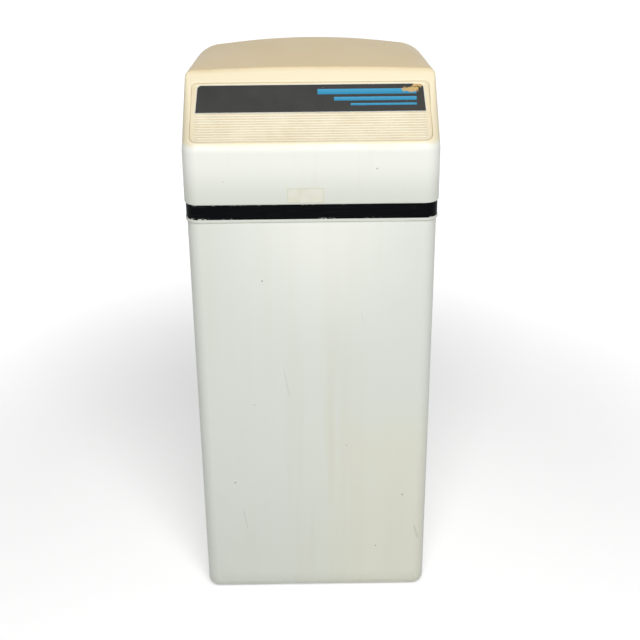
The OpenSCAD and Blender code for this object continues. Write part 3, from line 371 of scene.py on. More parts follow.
class Finish(Nodes):
    """A material in the making"""

    def __init__(self, name):
        super().__init__(bpy.data.materials.new(name))
        self.place = self.node("ShaderNodeTexCoord", output="Object")
        self.x, self.y, self.z = self.axes(self.place)

    def axes(self, vector):
        split = self.node("ShaderNodeSeparateXYZ", None, {"Vector": vector}, None)
        return [Wire(self, socket) for socket in split.outputs]

    def turned(self, matrix):
        """Coordinates in the frame of a matrix"""
        return self.node(
            "ShaderNodeMapping",
            {"vector_type": "TEXTURE"},
            {"Vector": self.place, "Location": matrix.to_translation(), "Rotation": matrix.to_euler()},
        )

    def noise(self, scale, detail=2.0, roughness=0.5, place=None):
        return self.node(
            "ShaderNodeTexNoise",
            None,
            {"Vector": place or self.place, "Scale": scale, "Detail": detail, "Roughness": roughness},
        )

    def drawn(self, *scale, detail=3.0):
        """Noise with a scale for each axis"""
        place = self.node("ShaderNodeMapping", None, {"Vector": self.place, "Scale": scale})
        return self.noise(1.0, detail, 0.6, place)

    def patches(self, low, high, *noise):
        """Noise spread out between two levels"""
        return self.ease(self.noise(*noise), low, high)

    def round_corner(self, aside, along, radius):
        """Distance past two sides that meet in a round corner"""
        aside = (aside + radius).most(0.0)
        along = (along + radius).most(0.0)
        return (aside ** 2.0 + along ** 2.0) ** 0.5 - radius

    def cells(self, scale, output="Distance"):
        return self.node("ShaderNodeTexVoronoi", None, {"Vector": self.place, "Scale": scale}, output)

    def ease(self, value, low, high):
        """0 at low, 1 at high and smooth between"""
        return self.node(
            "ShaderNodeMapRange",
            {"interpolation_type": "SMOOTHSTEP"},
            {"Value": value, "From Min": low, "From Max": high},
        )

    def within(self, value, low, high, soft):
        """1 between two limits, with soft edges"""
        return self.ease(value, low - soft, low + soft) * self.ease(value, high + soft, high - soft)

    def blend(self, share, first, second):
        """A colour between two"""
        return self.node("ShaderNodeMix", {"data_type": "RGBA"}, {0: share, 6: first, 7: second}, 2)

    def coats(self, body, *layers):
        """A colour under layers of others, each with its share"""
        for share, shade in layers:
            body = self.blend(share, body, shade)
        return body

    def bump(self, height):
        """A normal from a height in metres"""
        return self.node("ShaderNodeBump", None, {"Height": height, "Distance": 1.0, "Strength": 1.0})

    def moulding(self, grain, waves):
        """The normal of a moulded face: a fine grain over long shallow waves, in metres"""
        return self.bump(self.noise(GRAIN_SCALE) * grain + self.noise(WAVE_SCALE, 1.0) * waves)

    def spot(self, across, up, centre, radius):
        """1 inside a round spot"""
        far = ((across - centre[0]) ** 2.0 + (up - centre[1]) ** 2.0) ** 0.5
        return self.ease(far, radius * (1 + SPOT_SOFT), radius * (1 - SPOT_SOFT))

    def stroke(self, across, up, start, end, width):
        """1 along a straight scratch, fading at its ends"""
        run = Vector(end) - Vector(start)
        along = ((across - start[0]) * run.x + (up - start[1]) * run.y) / run.length
        beside = ((across - start[0]) * run.y - (up - start[1]) * run.x) / run.length
        line = self.ease(abs(beside), width, width * STROKE_CORE)
        fade = run.length * STROKE_FADE
        return line * self.ease(along, 0.0, fade) * self.ease(along, run.length, run.length - fade)

    def front_marks(self, low, high):
        """Specks and scratches of the front between two heights"""
        marks = 0.0
        for x, z, radius in SPECKS:
            if low < z < high:
                marks = self.spot(self.x, self.z, (x, z), radius) * SPECK_SHARE + marks
        for start, end, width in SCRATCHES:
            if low < start[1] < high:
                marks = self.stroke(self.x, self.z, start, end, width) * SCRATCH_SHARE + marks
        return marks * self.ease(self.y, *(HOOD_LOW.y + depth for depth in MARK_DEPTHS))

    def dust(self):
        """Small specks scattered in patches"""
        return self.ease(self.cells(42.0), 0.050, 0.020) * self.patches(0.55, 0.68, 5.0)

    def surface(self, **sockets):
        """Ends with the shader: the names of its sockets use _ for a space"""
        titles = [name.replace("_", " ").title().replace("Ior", "IOR") for name in sockets]
        return self.close(self.node("ShaderNodeBsdfPrincipled", None, dict(zip(titles, sockets.values()))))

    def close(self, shader):
        self.node("ShaderNodeOutputMaterial", None, {"Surface": shader}, None)
        return self.owner


# Mesh tools

def sign(value):
    """1 or -1"""
    return math.copysign(1.0, value)


def loose_object(name, bm):
    """An object from a bmesh, which is used up"""
    mesh = bpy.data.meshes.new(name)
    bm.to_mesh(mesh)
    bm.free()
    made = bpy.data.objects.new(name, mesh)
    bpy.context.scene.collection.objects.link(made)
    return made


def carve(bm, *cutters):
    """A bmesh with closed cutters taken out of it"""
    body = loose_object("carved", bm)
    tools = [loose_object("cutter", cutter) for cutter in cutters]
    for tool in tools:
        step = body.modifiers.new("cut", "BOOLEAN")
        step.operation = "DIFFERENCE"
        step.solver = "EXACT"
        step.object = tool
    carved = bmesh.new()
    carved.from_object(body, bpy.context.evaluated_depsgraph_get())
    for used in (body, *tools):
        bpy.data.objects.remove(used)
    return carved


def round_off(bm, geom, radius, segments, affect="EDGES"):
    """Rounds edges or corners"""
    bmesh.ops.bevel(
        bm, geom=list(geom), offset=radius, offset_type="OFFSET", segments=segments,
        profile=0.5, affect=affect, material=-1,
    )


def points_of(bm, matrix):
    """The corners of a bmesh at a place; the bmesh is used up"""
    found = [matrix @ corner.co for corner in bm.verts]
    bm.free()
    return found


def corners_in(made):
    """The corners among what an operator made"""
    return [item for item in made["geom"] if isinstance(item, bmesh.types.BMVert)]


def weld(bm, reach):
    """Joins corners within a reach and turns the faces outward"""
    bmesh.ops.remove_doubles(bm, verts=bm.verts, dist=reach)
    bmesh.ops.recalc_face_normals(bm, faces=bm.faces)


def placed(bm, matrix):
    """The bmesh, moved by a matrix"""
    bmesh.ops.transform(bm, matrix=matrix, verts=bm.verts)
    return bm


def started(operator, **options):
    """A bmesh that starts with one operator's shape"""
    bm = bmesh.new()
    operator(bm, **options)
    return bm


def ball(radius, segments):
    """A sphere"""
    return started(bmesh.ops.create_uvsphere, u_segments=segments, v_segments=segments // 2, radius=radius)


def hoop(radius):
    """A circle round Z"""
    return started(bmesh.ops.create_circle, segments=BEND_SEGMENTS, radius=radius)


def ring(radius, tube):
    """A torus round Z"""
    upright = Matrix.Translation((radius, 0, 0)) @ STAND_UP
    bm = started(bmesh.ops.create_circle, segments=TUBE_SEGMENTS, radius=tube, matrix=upright)
    bmesh.ops.spin(
        bm, geom=[*bm.verts, *bm.edges], cent=(0, 0, 0), axis=(0, 0, 1),
        angle=math.tau, steps=RING_SEGMENTS, use_merge=True,
    )
    return bm


def block(low, high):
    """A closed box between two corners"""
    low, high = Vector(low), Vector(high)
    place = Matrix.LocRotScale((low + high) / 2, None, high - low)
    return started(bmesh.ops.create_cube, size=1.0, matrix=place)


def trapezoid(half_low, low, half_high, high):
    """Corners of an outline that lies even round the Y axis"""
    return [(-half_low, low), (half_low, low), (half_high, high), (-half_high, high)]


def flat_face(bm, outline, z=0.0):
    """A face from its outline; returns its corners"""
    corners = [bm.verts.new((x, y, z)) for x, y in outline]
    bm.faces.new(corners)
    return corners


def raise_faces(bm, faces, by):
    """Extrudes faces along a vector, and keeps the old faces as the other side"""
    moved = corners_in(bmesh.ops.extrude_face_region(bm, geom=list(faces), use_keep_orig=True))
    bmesh.ops.translate(bm, verts=moved, vec=by)
    bmesh.ops.recalc_face_normals(bm, faces=bm.faces)
    return moved


def wrap(bm, points):
    """Adds the convex hull of points and joins its flat faces"""
    corners = [bm.verts.new(point) for point in points]
    bmesh.ops.remove_doubles(bm, verts=corners, dist=1e-6)
    corners = [corner for corner in corners if corner.is_valid]
    bmesh.ops.convex_hull(bm, input=corners, use_existing_faces=False)
    spare = [corner for corner in corners if not corner.link_faces]
    bmesh.ops.delete(bm, geom=spare, context="VERTS")
    kept = [corner for corner in corners if corner.is_valid]
    edges = {edge for corner in kept for edge in corner.link_edges}
    bmesh.ops.dissolve_limit(bm, angle_limit=FLAT_ANGLE, verts=kept, edges=list(edges))


def open_foot(bm, height):
    """Takes out the flat hull face at a height and returns its edges"""
    level = [
        face for face in bm.faces
        if all(abs(corner.co.z - height) < TINY for corner in face.verts) and len(face.verts) > 4
    ]
    edges = {edge for face in level for edge in face.edges}
    bmesh.ops.delete(bm, geom=level, context="FACES_ONLY")
    return list(edges)


def sweep(bm, rim, section, corner):
    """Extrudes a rim with round corners along a section of steps past the cabinet's rim and heights"""
    for over, z in section:
        made = bmesh.ops.extrude_edge_only(bm, edges=rim)
        corners = set(corners_in(made))
        edges = [item for item in made["geom"] if isinstance(item, bmesh.types.BMEdge)]
        rim = [edge for edge in edges if corners.issuperset(edge.verts)]
        for moved in corners:
            centre = Vector((
                sign(moved.co.x) * (TANK_HIGH.x - corner), sign(moved.co.y) * (TANK_HIGH.y - corner)
            ))
            outward = (moved.co.xy - centre).normalized()
            moved.co = (*(centre + outward * (corner + over)), z)
    return rim


def quarter(over, z, radius, start):
    """Steps of a section round a quarter circle, from an angle in degrees down to 90 less"""
    angles = [math.radians(start - 90 * step / QUARTER_STEPS) for step in range(QUARTER_STEPS + 1)]
    return [(over + radius * math.cos(angle), z + radius * math.sin(angle)) for angle in angles]


def keep_piece(bm, name, finish, body, slot, *nodes):
    """The finished piece: it rides on a body and may stand for CAD nodes"""
    piece = loose_object(name, bm)
    mesh = piece.data
    mesh.materials.append(finish)
    mesh.polygons.foreach_set("use_smooth", [True] * len(mesh.polygons))
    mesh.set_sharp_from_angle(angle=SHARP_ANGLE)
    shading = piece.modifiers.new("even shading", "WEIGHTED_NORMAL")
    shading.keep_sharp = True
    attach(piece, body)
    if nodes:
        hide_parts(*nodes)
    return piece


# Cabinet

def cabinet_mesh(size):
    """The open tank: a tapered box with round corners and a round floor edge"""
    bm = started(bmesh.ops.create_cube, size=2.0)
    for corner in bm.verts:
        top = corner.co.z > 0
        lean = 0.0 if top else size.draft
        corner.co.x = sign(corner.co.x) * (TANK_HIGH.x - lean)
        corner.co.y = sign(corner.co.y) * (TANK_HIGH.y - lean)
        corner.co.z = TANK_HIGH.z if top else 0.0
    uprights = [edge for edge in bm.edges if abs(edge.verts[0].co.z - edge.verts[1].co.z) > size.base]
    round_off(bm, uprights, size.corner, CORNER_STEPS)
    foot = [edge for edge in bm.edges if max(corner.co.z for corner in edge.verts) < size.wall]
    round_off(bm, foot, size.base, BASE_STEPS)
    mouth = [face for face in bm.faces if min(corner.co.z for corner in face.verts) > TANK_HIGH.z - TINY]
    bmesh.ops.delete(bm, geom=mouth, context="FACES_ONLY")
    bmesh.ops.recalc_face_normals(bm, faces=bm.faces)
    bmesh.ops.solidify(bm, geom=bm.faces, thickness=size.wall)
    rim = [
        edge for edge in bm.edges
        if min(corner.co.z for corner in edge.verts) > TANK_HIGH.z - size.wall / 4
        and edge.calc_face_angle(0.0) > SHARP_ANGLE
    ]
    round_off(bm, rim, size.rim_round, EDGE_STEPS)
    return carve(bm, *(wall_hole(node, radius) for node, radius in (
        ("overflow_elbow", size.overflow_hole), ("cord_gland", size.gland_hole)
    )))


def wall_hole(node, radius):
    """A cutter through the rear wall round the middle of a fitting's flange"""
    low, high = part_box(node)
    flange = (high.x - low.x) / 2
    centre = Vector((low.x + flange, TANK_HIGH.y, high.z - flange))
    return started(
        bmesh.ops.create_cone, cap_ends=True, segments=RING_SEGMENTS, radius1=radius, radius2=radius,
        depth=HOLE_DEPTH, matrix=Matrix.Translation(centre) @ STAND_UP,
    )


def cabinet_finish(shell):
    """White moulded plastic with water stains, specks, scratches and grime, a painted sheen high on the front
    and painted shade low down
    """
    look = Finish("cabinet white plastic")
    front = look.ease(look.y, 0.016 - TANK_HIGH.y, 0.008 - TANK_HIGH.y)
    # Painted highlight: a sheen that makes the front lighter towards the top and towards the middle
    middle = look.ease(abs(look.x - 0.020), 0.240, 0.0)
    cast = look.ease(look.x, -0.080, 0.150) * look.ease(look.z, 0.460, 0.300) * front
    streaks = look.ease(look.drawn(26.0, 26.0, 1.4), 0.42, 0.74)
    below = look.within(look.x, -0.030, 0.060, 0.040) * look.ease(look.z, 0.640, 0.400) * front
    grime = look.ease(look.z, 0.045, 0.0) * look.noise(28.0, 4.0)
    marks = look.front_marks(0.0, TANK_HIGH.z) + look.dust() * 0.35 + grime * 0.30
    body = look.coats(
        shell.white,
        # Painted sheen, lighter high up and in the middle of the front
        ((look.ease(look.z, 0.500, 0.800) + 0.10) * middle, shell.clean),
        # Darker towards the bottom: greyed plastic and painted shade
        (look.ease(look.z, 0.300, 0.0) * 0.5, shell.dull),
        (look.patches(0.40, 0.75, 3.2, 3.0) * 0.25, shell.dull),
        (cast * (look.noise(6.0, 3.0) * 0.5 + 0.4), shell.warm),
        (streaks * (below * 0.20 + 0.07), shell.stain),
        (marks, shell.dirt),
    )
    rough = look.noise(9.0, 3.0) * 0.12 + marks * 0.15 + 0.36
    return look.surface(base_color=body, roughness=rough, normal=look.moulding(0.00003, 0.0011))


# Hood

def brow_height(hood):
    """Height of the corner between skirt and panel"""
    return BAND_HIGH.z + BAND_PLAY + hood.skirt


def panel_frame(hood):
    """Matrix of the sloped panel: X across, Y up the slope, Z out of its face"""
    corner = Vector((0.0, HOOD_LOW.y, brow_height(hood)))
    return Matrix.Translation(corner) @ Matrix.Rotation(math.pi / 2 - panel_lean(hood), 4, "X")


def panel_lean(hood):
    """Angle between the sloped panel and an upright"""
    return math.atan2(hood.panel_run, hood.panel_rise)


def panel_length(hood):
    """Length of the sloped panel from brow to crease"""
    return math.hypot(hood.panel_run, hood.panel_rise)


def recess_frame(hood, panel):
    """Matrix of the recess's floor, from the middle of its lower edge"""
    return panel_frame(hood) @ Matrix.Translation((0.0, panel.low_margin, -panel.depth))


def recess_length(hood, panel):
    """Length of the recess up the slope"""
    return panel_length(hood) - panel.low_margin - panel.high_margin


def recess_taper(hood, panel):
    """How fast each side of the recess leans in"""
    return (panel.low_width - panel.high_width) / 2 / recess_length(hood, panel)


def plate_foot(hood, panel):
    """Height of the label plate's lower edge in the recess"""
    return recess_length(hood, panel) - panel.plate_drop - panel.plate


def roof_grid(hood, inset):
    """The roof's crown from behind the crease to the shoulders, and the roll down its rear"""
    half = HOOD_HIGH.x - hood.shoulder
    reach = hood.shoulder - inset
    front = HOOD_LOW.y + hood.panel_run + 1.5 * hood.crease + 2.0 * inset
    top = brow_height(hood) + hood.panel_rise - inset
    bm = started(bmesh.ops.create_grid, x_segments=ROOF_ACROSS, y_segments=ROOF_BACK, size=1.0)
    for corner in bm.verts:
        across = corner.co.x
        back = 1 + min(0.0, corner.co.y)
        roll = REAR_ROLL * max(0.0, corner.co.y)
        rise = math.sin(math.pi / 2 * min(1.0, back / CROWN_FRONT))
        crown = hood.crown - (hood.crown + hood.shoulder_drop) * across * across
        corner.co.x = across * half
        corner.co.y = front + (hood.shoulder_y - front) * back + reach * math.sin(roll)
        corner.co.z = top + crown * rise - reach * (1 - math.cos(roll))
    return bm


def hood_points(hood, cabinet, inset, set_back, foot):
    """Points whose hull is the hood's form, drawn in by an inset, with its panel set back"""
    centre_x = TANK_HIGH.x - cabinet.corner
    centre_y = TANK_HIGH.y - cabinet.corner
    plan = HOOD_HIGH.x - centre_x
    lean = panel_lean(hood)
    panel = panel_frame(hood) @ Matrix.Translation((0, 0, -set_back))
    crease_s = panel_length(hood) - hood.crease * (1 - math.sin(lean)) / math.cos(lean)
    shoulder_z = brow_height(hood) + hood.panel_rise - hood.shoulder_drop - hood.shoulder
    rear_z = brow_height(hood) - hood.rear_drop
    bend = hood.crease_end - hood.crease
    crease_half = hood.crease_width / 2 - hood.crease_end
    tube = max(TINY, hood.crease - inset)
    points = points_of(roof_grid(hood, inset), Matrix())
    for step in range(1 - CREASE_STEPS, CREASE_STEPS):
        across = step / CREASE_STEPS
        rise = hood.crease_arch * (1 - across * across)
        middle = Matrix.Translation((across * crease_half, crease_s + rise, -hood.crease))
        points += points_of(ball(tube, CREASE_SEGMENTS), panel @ middle)
    for side in (-1, 1):
        brow = panel @ Vector((side * centre_x, plan * math.tan(lean / 2), -plan))
        points += points_of(ball(plan - inset, BEND_SEGMENTS), Matrix.Translation(brow))
        crease = Matrix.Translation((side * crease_half, crease_s - bend, -hood.crease))
        points += points_of(ring(bend - max(0, inset - hood.crease), tube), panel @ crease)
        rear = (side * centre_x, centre_y, rear_z - plan)
        points += points_of(ball(plan - inset, BEND_SEGMENTS), Matrix.Translation(rear))
        shoulder = (side * (HOOD_HIGH.x - hood.shoulder), hood.shoulder_y, shoulder_z)
        points += points_of(ball(hood.shoulder - inset, SHOULDER_SEGMENTS), Matrix.Translation(shoulder))
        for end in (-1, 1):
            corner = (side * centre_x, end * centre_y, foot)
            points += points_of(hoop(plan - inset), Matrix.Translation(corner))
    return points


def hood_mesh(hood, cabinet, panel):
    """The lift-off hood: a shell with a tongue, a lip and a band seat, a recess and a pipe notch"""
    skirt_z = BAND_HIGH.z + BAND_PLAY
    band_z = BAND_LOW.z - BAND_PLAY
    rim_z = TANK_HIGH.z
    skirt_over = HOOD_HIGH.x - TANK_HIGH.x
    edge = hood.skirt_edge
    lip = hood.lip_round
    inner_foot = skirt_z - hood.wall
    tongue = -cabinet.wall - TONGUE_PLAY
    ledge = tongue - hood.wall
    bm = bmesh.new()
    wrap(bm, hood_points(hood, cabinet, 0.0, 0.0, skirt_z + edge))
    outer = open_foot(bm, skirt_z + edge)
    section = [
        *quarter(skirt_over - edge, skirt_z + edge, edge, 0)[1:],
        (hood.seat_over, skirt_z),
        (hood.seat_over, band_z),
        *quarter(hood.lip_over - lip, band_z - lip, lip, 90),
        *quarter(hood.lip_over - lip, rim_z + lip, lip, 0),
        (tongue, rim_z),
        *quarter(tongue - lip, HOOD_LOW.z + lip, lip, 0),
        *quarter(ledge + lip, HOOD_LOW.z + lip, lip, -90),
        (ledge, rim_z + hood.wall),
        (-hood.wall, rim_z + hood.wall),
        (-hood.wall, inner_foot),
        (skirt_over - hood.wall, inner_foot),
    ]
    sweep(bm, outer, section, cabinet.corner)
    wrap(bm, hood_points(hood, cabinet, hood.wall, panel.depth + PANEL_WALL, inner_foot))
    open_foot(bm, inner_foot)
    weld(bm, TINY)
    carved = carve(bm, recess_cutter(hood, panel), notch_cutter(hood))
    place = recess_frame(hood, panel).inverted()
    rim = [edge for edge in carved.edges if on_recess_rim(edge, place, hood, panel)]
    round_off(carved, rim, panel.edge, EDGE_STEPS)
    return carved


def on_recess_rim(edge, place, hood, panel):
    """Whether an edge lies on the panel's face along the recess"""
    for corner in edge.verts:
        x, y, z = place @ corner.co
        outside = max(abs(x) - panel.low_width / 2, -y, y - recess_length(hood, panel))
        if max(outside, abs(z - panel.depth)) > TINY:
            return False
    return edge.calc_face_angle(0.0) > SHARP_ANGLE


def recess_outline(hood, panel, gap=0.0):
    """Corners of the recess, drawn in by a gap"""
    high = recess_length(hood, panel) - gap
    half_low = panel.low_width / 2 - recess_taper(hood, panel) * gap - gap
    half_high = panel.high_width / 2 - gap
    return trapezoid(half_low, gap, half_high, high)


def recess_cutter(hood, panel):
    """What the recess takes out of the panel"""
    bm = bmesh.new()
    corners = flat_face(bm, recess_outline(hood, panel))
    round_off(bm, corners[:2], panel.low_corner, LOW_CORNER_STEPS, "VERTICES")
    round_off(bm, corners[2:], panel.corner, HIGH_CORNER_STEPS, "VERTICES")
    raise_faces(bm, bm.faces, (0, 0, 2 * panel.depth))
    return placed(bm, recess_frame(hood, panel))


def notch_cutter(hood):
    """What the pipe notch takes out of the rear"""
    top = TANK_HIGH.z + hood.notch_top
    bm = block((-hood.notch_half, 0.0, HOOD_LOW.z - hood.wall), (hood.notch_half, 2 * HOOD_HIGH.y, top))
    upper = [
        edge for edge in bm.edges
        if all(abs(corner.co.z - top) < TINY for corner in edge.verts)
        and abs(edge.verts[0].co.x - edge.verts[1].co.x) < TINY
    ]
    round_off(bm, upper, hood.notch_round, NOTCH_STEPS)
    return bm


def hood_finish(shell, hood, panel):
    """White plastic that has yellowed where it faces up, with a painted highlight along the brow and painted
    shade down the skirt and along the recess
    """
    look = Finish("hood aged plastic")
    brow = brow_height(hood)
    crease = brow + hood.panel_rise
    drift = (look.noise(12.0, 3.0) - 0.5) * 0.012
    front = look.ease(look.y, HOOD_LOW.y + 0.095, HOOD_LOW.y + 0.020)
    panel_age = look.ease(look.z + drift, brow - 0.004, brow + 0.009)
    side_age = look.ease(look.z + drift * 3.0, brow - 0.050, brow + 0.045)
    age = side_age + (panel_age - side_age) * front
    bow = hood.crease_arch * math.sin(panel_lean(hood))
    crease_y = HOOD_LOW.y + hood.panel_run + bow
    back = look.x ** 2.0 * (bow / (hood.crease_width / 2) ** 2) + look.y
    roof_age = look.ease(back + drift * 0.4, crease_y - 0.008, crease_y + 0.003)
    roof_age = roof_age * look.ease(look.z + drift, crease - 0.050, crease - 0.020)
    rear_age = look.ease(look.z + drift * 2.0, brow - 0.020, brow + 0.060)
    rear_age = rear_age * look.ease(look.y, -0.100, -0.040)
    # Painted highlight along the brow's rounded corner
    rubbed = look.within(look.z, brow - 0.014, brow + 0.001, 0.006) * front
    streaks = look.ease(look.drawn(45.0, 45.0, 4.0), 0.55, 0.80)
    smear = look.within(back, crease_y - 0.003, crease_y + 0.003, 0.003) * look.patches(0.50, 0.75, 22.0, 4.0)
    marks = look.front_marks(TANK_HIGH.z, brow) + look.dust() * 0.30
    body = look.coats(
        shell.clean,
        # Painted shade: the skirt darker down towards the band
        (look.ease(look.z, brow - 0.020, BAND_HIGH.z), shell.dull),
        # Painted highlight on the brow
        (rubbed * 0.9, shell.clean),
        (age, shell.cream),
        (roof_age.most(rear_age) * (look.noise(5.0, 3.0) * 0.5 + 0.72), shell.tan),
        (streaks * 0.15, shell.stain),
        # Grime and painted shade along the recess's rim, grime along the crease
        (recess_grime_and_shade(look, hood, panel) + smear * 0.3, shell.grime_and_shade),
        (marks, shell.dirt),
    )
    rough = look.noise(10.0, 3.0) * 0.12 + marks * 0.15 + 0.33
    return look.surface(base_color=body, roughness=rough, normal=look.moulding(0.00003, 0.0007))


def recess_grime_and_shade(look, hood, panel):
    """Grime and painted shade along the recess's rim, most of them along the lower edge and in the lower
    corners
    """
    across, up, over = look.axes(look.turned(recess_frame(hood, panel)))
    aside = abs(across) + up * recess_taper(hood, panel) - panel.low_width / 2
    beyond = look.round_corner(aside, up * -1.0, panel.low_corner).most(up - recess_length(hood, panel))
    line = look.within(beyond, -0.0012, 0.0009, 0.0008) * look.within(over, 0.0, panel.depth, 0.001)
    low = look.ease(up, 0.080, 0.020) * 0.7 + 0.3
    corners = look.ease(abs(across), 0.120, 0.190) * look.ease(up, 0.050, 0.0)
    return line * (look.noise(35.0, 3.0) * low + corners * 0.5)


# Band

def band_mesh(cabinet, hood):
    """The black band: a thin hoop round the hood, open at the pipe notch"""
    over = BAND_HIGH.x - TANK_HIGH.x
    inner = hood.seat_over + BAND_PLAY
    edge = hood.band_edge
    half_x = TANK_HIGH.x + inner
    half_y = TANK_HIGH.y + inner
    bm = bmesh.new()
    corners = flat_face(bm, trapezoid(half_x, -half_y, half_x, half_y), BAND_LOW.z)
    round_off(bm, corners, cabinet.corner + inner, BAND_STEPS, "VERTICES")
    bmesh.ops.delete(bm, geom=list(bm.faces), context="FACES_ONLY")
    section = [
        *reversed(quarter(over - edge, BAND_LOW.z + edge, edge, 0)),
        *reversed(quarter(over - edge, BAND_HIGH.z - edge, edge, 90)),
        (inner, BAND_HIGH.z),
        (inner, BAND_LOW.z),
    ]
    sweep(bm, list(bm.edges), section, cabinet.corner)
    weld(bm, TINY / 10)
    return carve(bm, notch_cutter(hood))


def band_finish(shell):
    """Black gloss plastic, rubbed along its length and chipped along its edges"""
    look = Finish("band black gloss")
    rubbed = look.drawn(30.0, 30.0, 900.0)
    edge = look.ease(look.z, BAND_LOW.z + 0.0032, BAND_LOW.z + 0.0008)
    edge = edge.most(look.ease(look.z, BAND_HIGH.z - 0.0016, BAND_HIGH.z - 0.0004) * 0.5)
    chips = look.patches(0.57, 0.64, 150.0, 3.0) * edge * look.patches(0.42, 0.58, 9.0)
    body = look.coats(shell.band, (look.ease(rubbed, 0.55, 0.80) * 0.02, shell.chip), (chips, shell.chip))
    rough = rubbed * 0.20 + chips * 0.30 + 0.18
    normal = look.bump(look.noise(60.0) * 0.00012)
    return look.surface(base_color=body, roughness=rough, specular_ior_level=0.03, normal=normal)


# Panel insert

def insert_mesh(hood, panel):
    """The ribbed insert: a profile along the slope that flattens at the ribs' ends, cut to the recess"""
    pitch = (plate_foot(hood, panel) - panel.gap) / (panel.ribs + 0.5)
    sunk = panel.rib_radius - panel.rib_height
    open_angle = math.acos(sunk / panel.rib_radius)
    profile = [(panel.gap, panel.insert)]
    for rib in range(panel.ribs):
        middle = pitch * (rib + 0.75)
        for step in range(RIB_STEPS + 1):
            angle = open_angle * (1 - 2 * step / RIB_STEPS)
            profile.append((
                middle - panel.rib_radius * math.sin(angle),
                panel.insert - sunk + panel.rib_radius * math.cos(angle),
            ))
    profile.append((recess_length(hood, panel), panel.insert))
    rows = len(profile) - 1
    bm = started(bmesh.ops.create_grid, x_segments=RIB_COLUMNS, y_segments=rows, size=1.0)
    for corner in bm.verts:
        column = round(RIB_COLUMNS / 2 * abs(corner.co.x) - 0.5)
        y, z = profile[round(rows * (corner.co.y + 1) / 2)]
        end = panel.low_width / 2 - recess_taper(hood, panel) * y - panel.rib_margin
        reach = (end, end + panel.rib_height, panel.low_width)[column]
        corner.co = (sign(corner.co.x) * reach, y, panel.insert if column else z)
    radii = (panel.low_corner, panel.low_corner, panel.corner, panel.corner)
    for point, outward in outline_cuts(recess_outline(hood, panel, panel.gap), radii):
        bmesh.ops.bisect_plane(
            bm, geom=[*bm.verts, *bm.edges, *bm.faces], plane_co=point, plane_no=outward, clear_outer=True
        )
    rim = [edge for edge in bm.edges if edge.is_boundary]
    for corner in corners_in(bmesh.ops.extrude_edge_only(bm, edges=rim)):
        corner.co.z = 0.0
    bmesh.ops.holes_fill(bm, edges=[edge for edge in bm.edges if edge.is_boundary])
    weld(bm, TINY / 10)
    return placed(bm, recess_frame(hood, panel))


def outline_cuts(outline, radii):
    """Upright planes along the sides of an outline and round its corners"""
    corners = [Vector((x, y, 0.0)) for x, y in outline]
    for number, (corner, radius) in enumerate(zip(corners, radii)):
        before = (corner - corners[number - 1]).normalized()
        after = (corners[(number + 1) % len(corners)] - corner).normalized()
        first = Vector((before.y, -before.x, 0.0))
        last = Vector((after.y, -after.x, 0.0))
        bisector = (first + last).normalized()
        centre = corner - bisector * radius / bisector.dot(first)
        for step in range(HIGH_CORNER_STEPS + 1):
            outward = first.slerp(last, step / HIGH_CORNER_STEPS)
            yield centre + outward * radius, outward


def insert_finish(shell, hood, panel):
    """Yellowed plastic with grime and painted shade in the grooves and lighter rib crests"""
    look = Finish("insert cream plastic")
    across, up, over = look.axes(look.turned(recess_frame(hood, panel)))
    foot = plate_foot(hood, panel)
    end = panel.low_width / 2 - panel.rib_margin
    ribbed = look.ease(abs(across) + up * recess_taper(hood, panel), end, end - 0.002)
    ribbed = ribbed * look.ease(up, 0.0005, 0.002) * look.ease(up, foot + 0.001, foot - 0.001)
    # Grooves between the ribs: grime and painted shade
    grime_and_shade = look.ease(over, panel.insert + 0.0005, panel.insert + 0.0001) * ribbed
    crest = look.ease(over, panel.insert + 0.0006, panel.insert + panel.rib_height)
    side = panel.low_width / 2
    ends = look.ease(abs(across), side - 0.018, side) + look.ease(up, 0.004, 0.0)
    body = look.coats(
        shell.cream,
        (look.patches(0.35, 0.75, 16.0, 3.0) * 0.45, shell.tan),
        (crest * 0.5 + 0.1, shell.clean),
        (grime_and_shade * (look.noise(40.0, 3.0) * 0.45 + 0.12), shell.grime_and_shade),
        (ends * 0.25 + look.ease(up, 0.050, 0.0) * 0.08, shell.grime_and_shade),
    )
    rough = look.noise(25.0) * 0.15 + grime_and_shade * 0.2 + 0.30
    return look.surface(base_color=body, roughness=rough, normal=look.bump(look.noise(GRAIN_SCALE) * 0.00002))


# Label plate

def plate_mesh(hood, panel):
    """The label plate over the ribs, with round upper corners"""
    low = plate_foot(hood, panel)
    bm = bmesh.new()
    outline = trapezoid(panel.plate_low / 2, low, panel.plate_high / 2, low + panel.plate)
    corners = flat_face(bm, outline, panel.insert)
    round_off(bm, corners[2:], panel.corner, HIGH_CORNER_STEPS, "VERTICES")
    top = raise_faces(bm, bm.faces, (0, 0, panel.plate_thick))
    upper = {edge for corner in top for edge in corner.link_edges if edge.other_vert(corner) in top}
    round_off(bm, upper, panel.plate_thick / 3, PLATE_STEPS)
    return placed(bm, recess_frame(hood, panel))


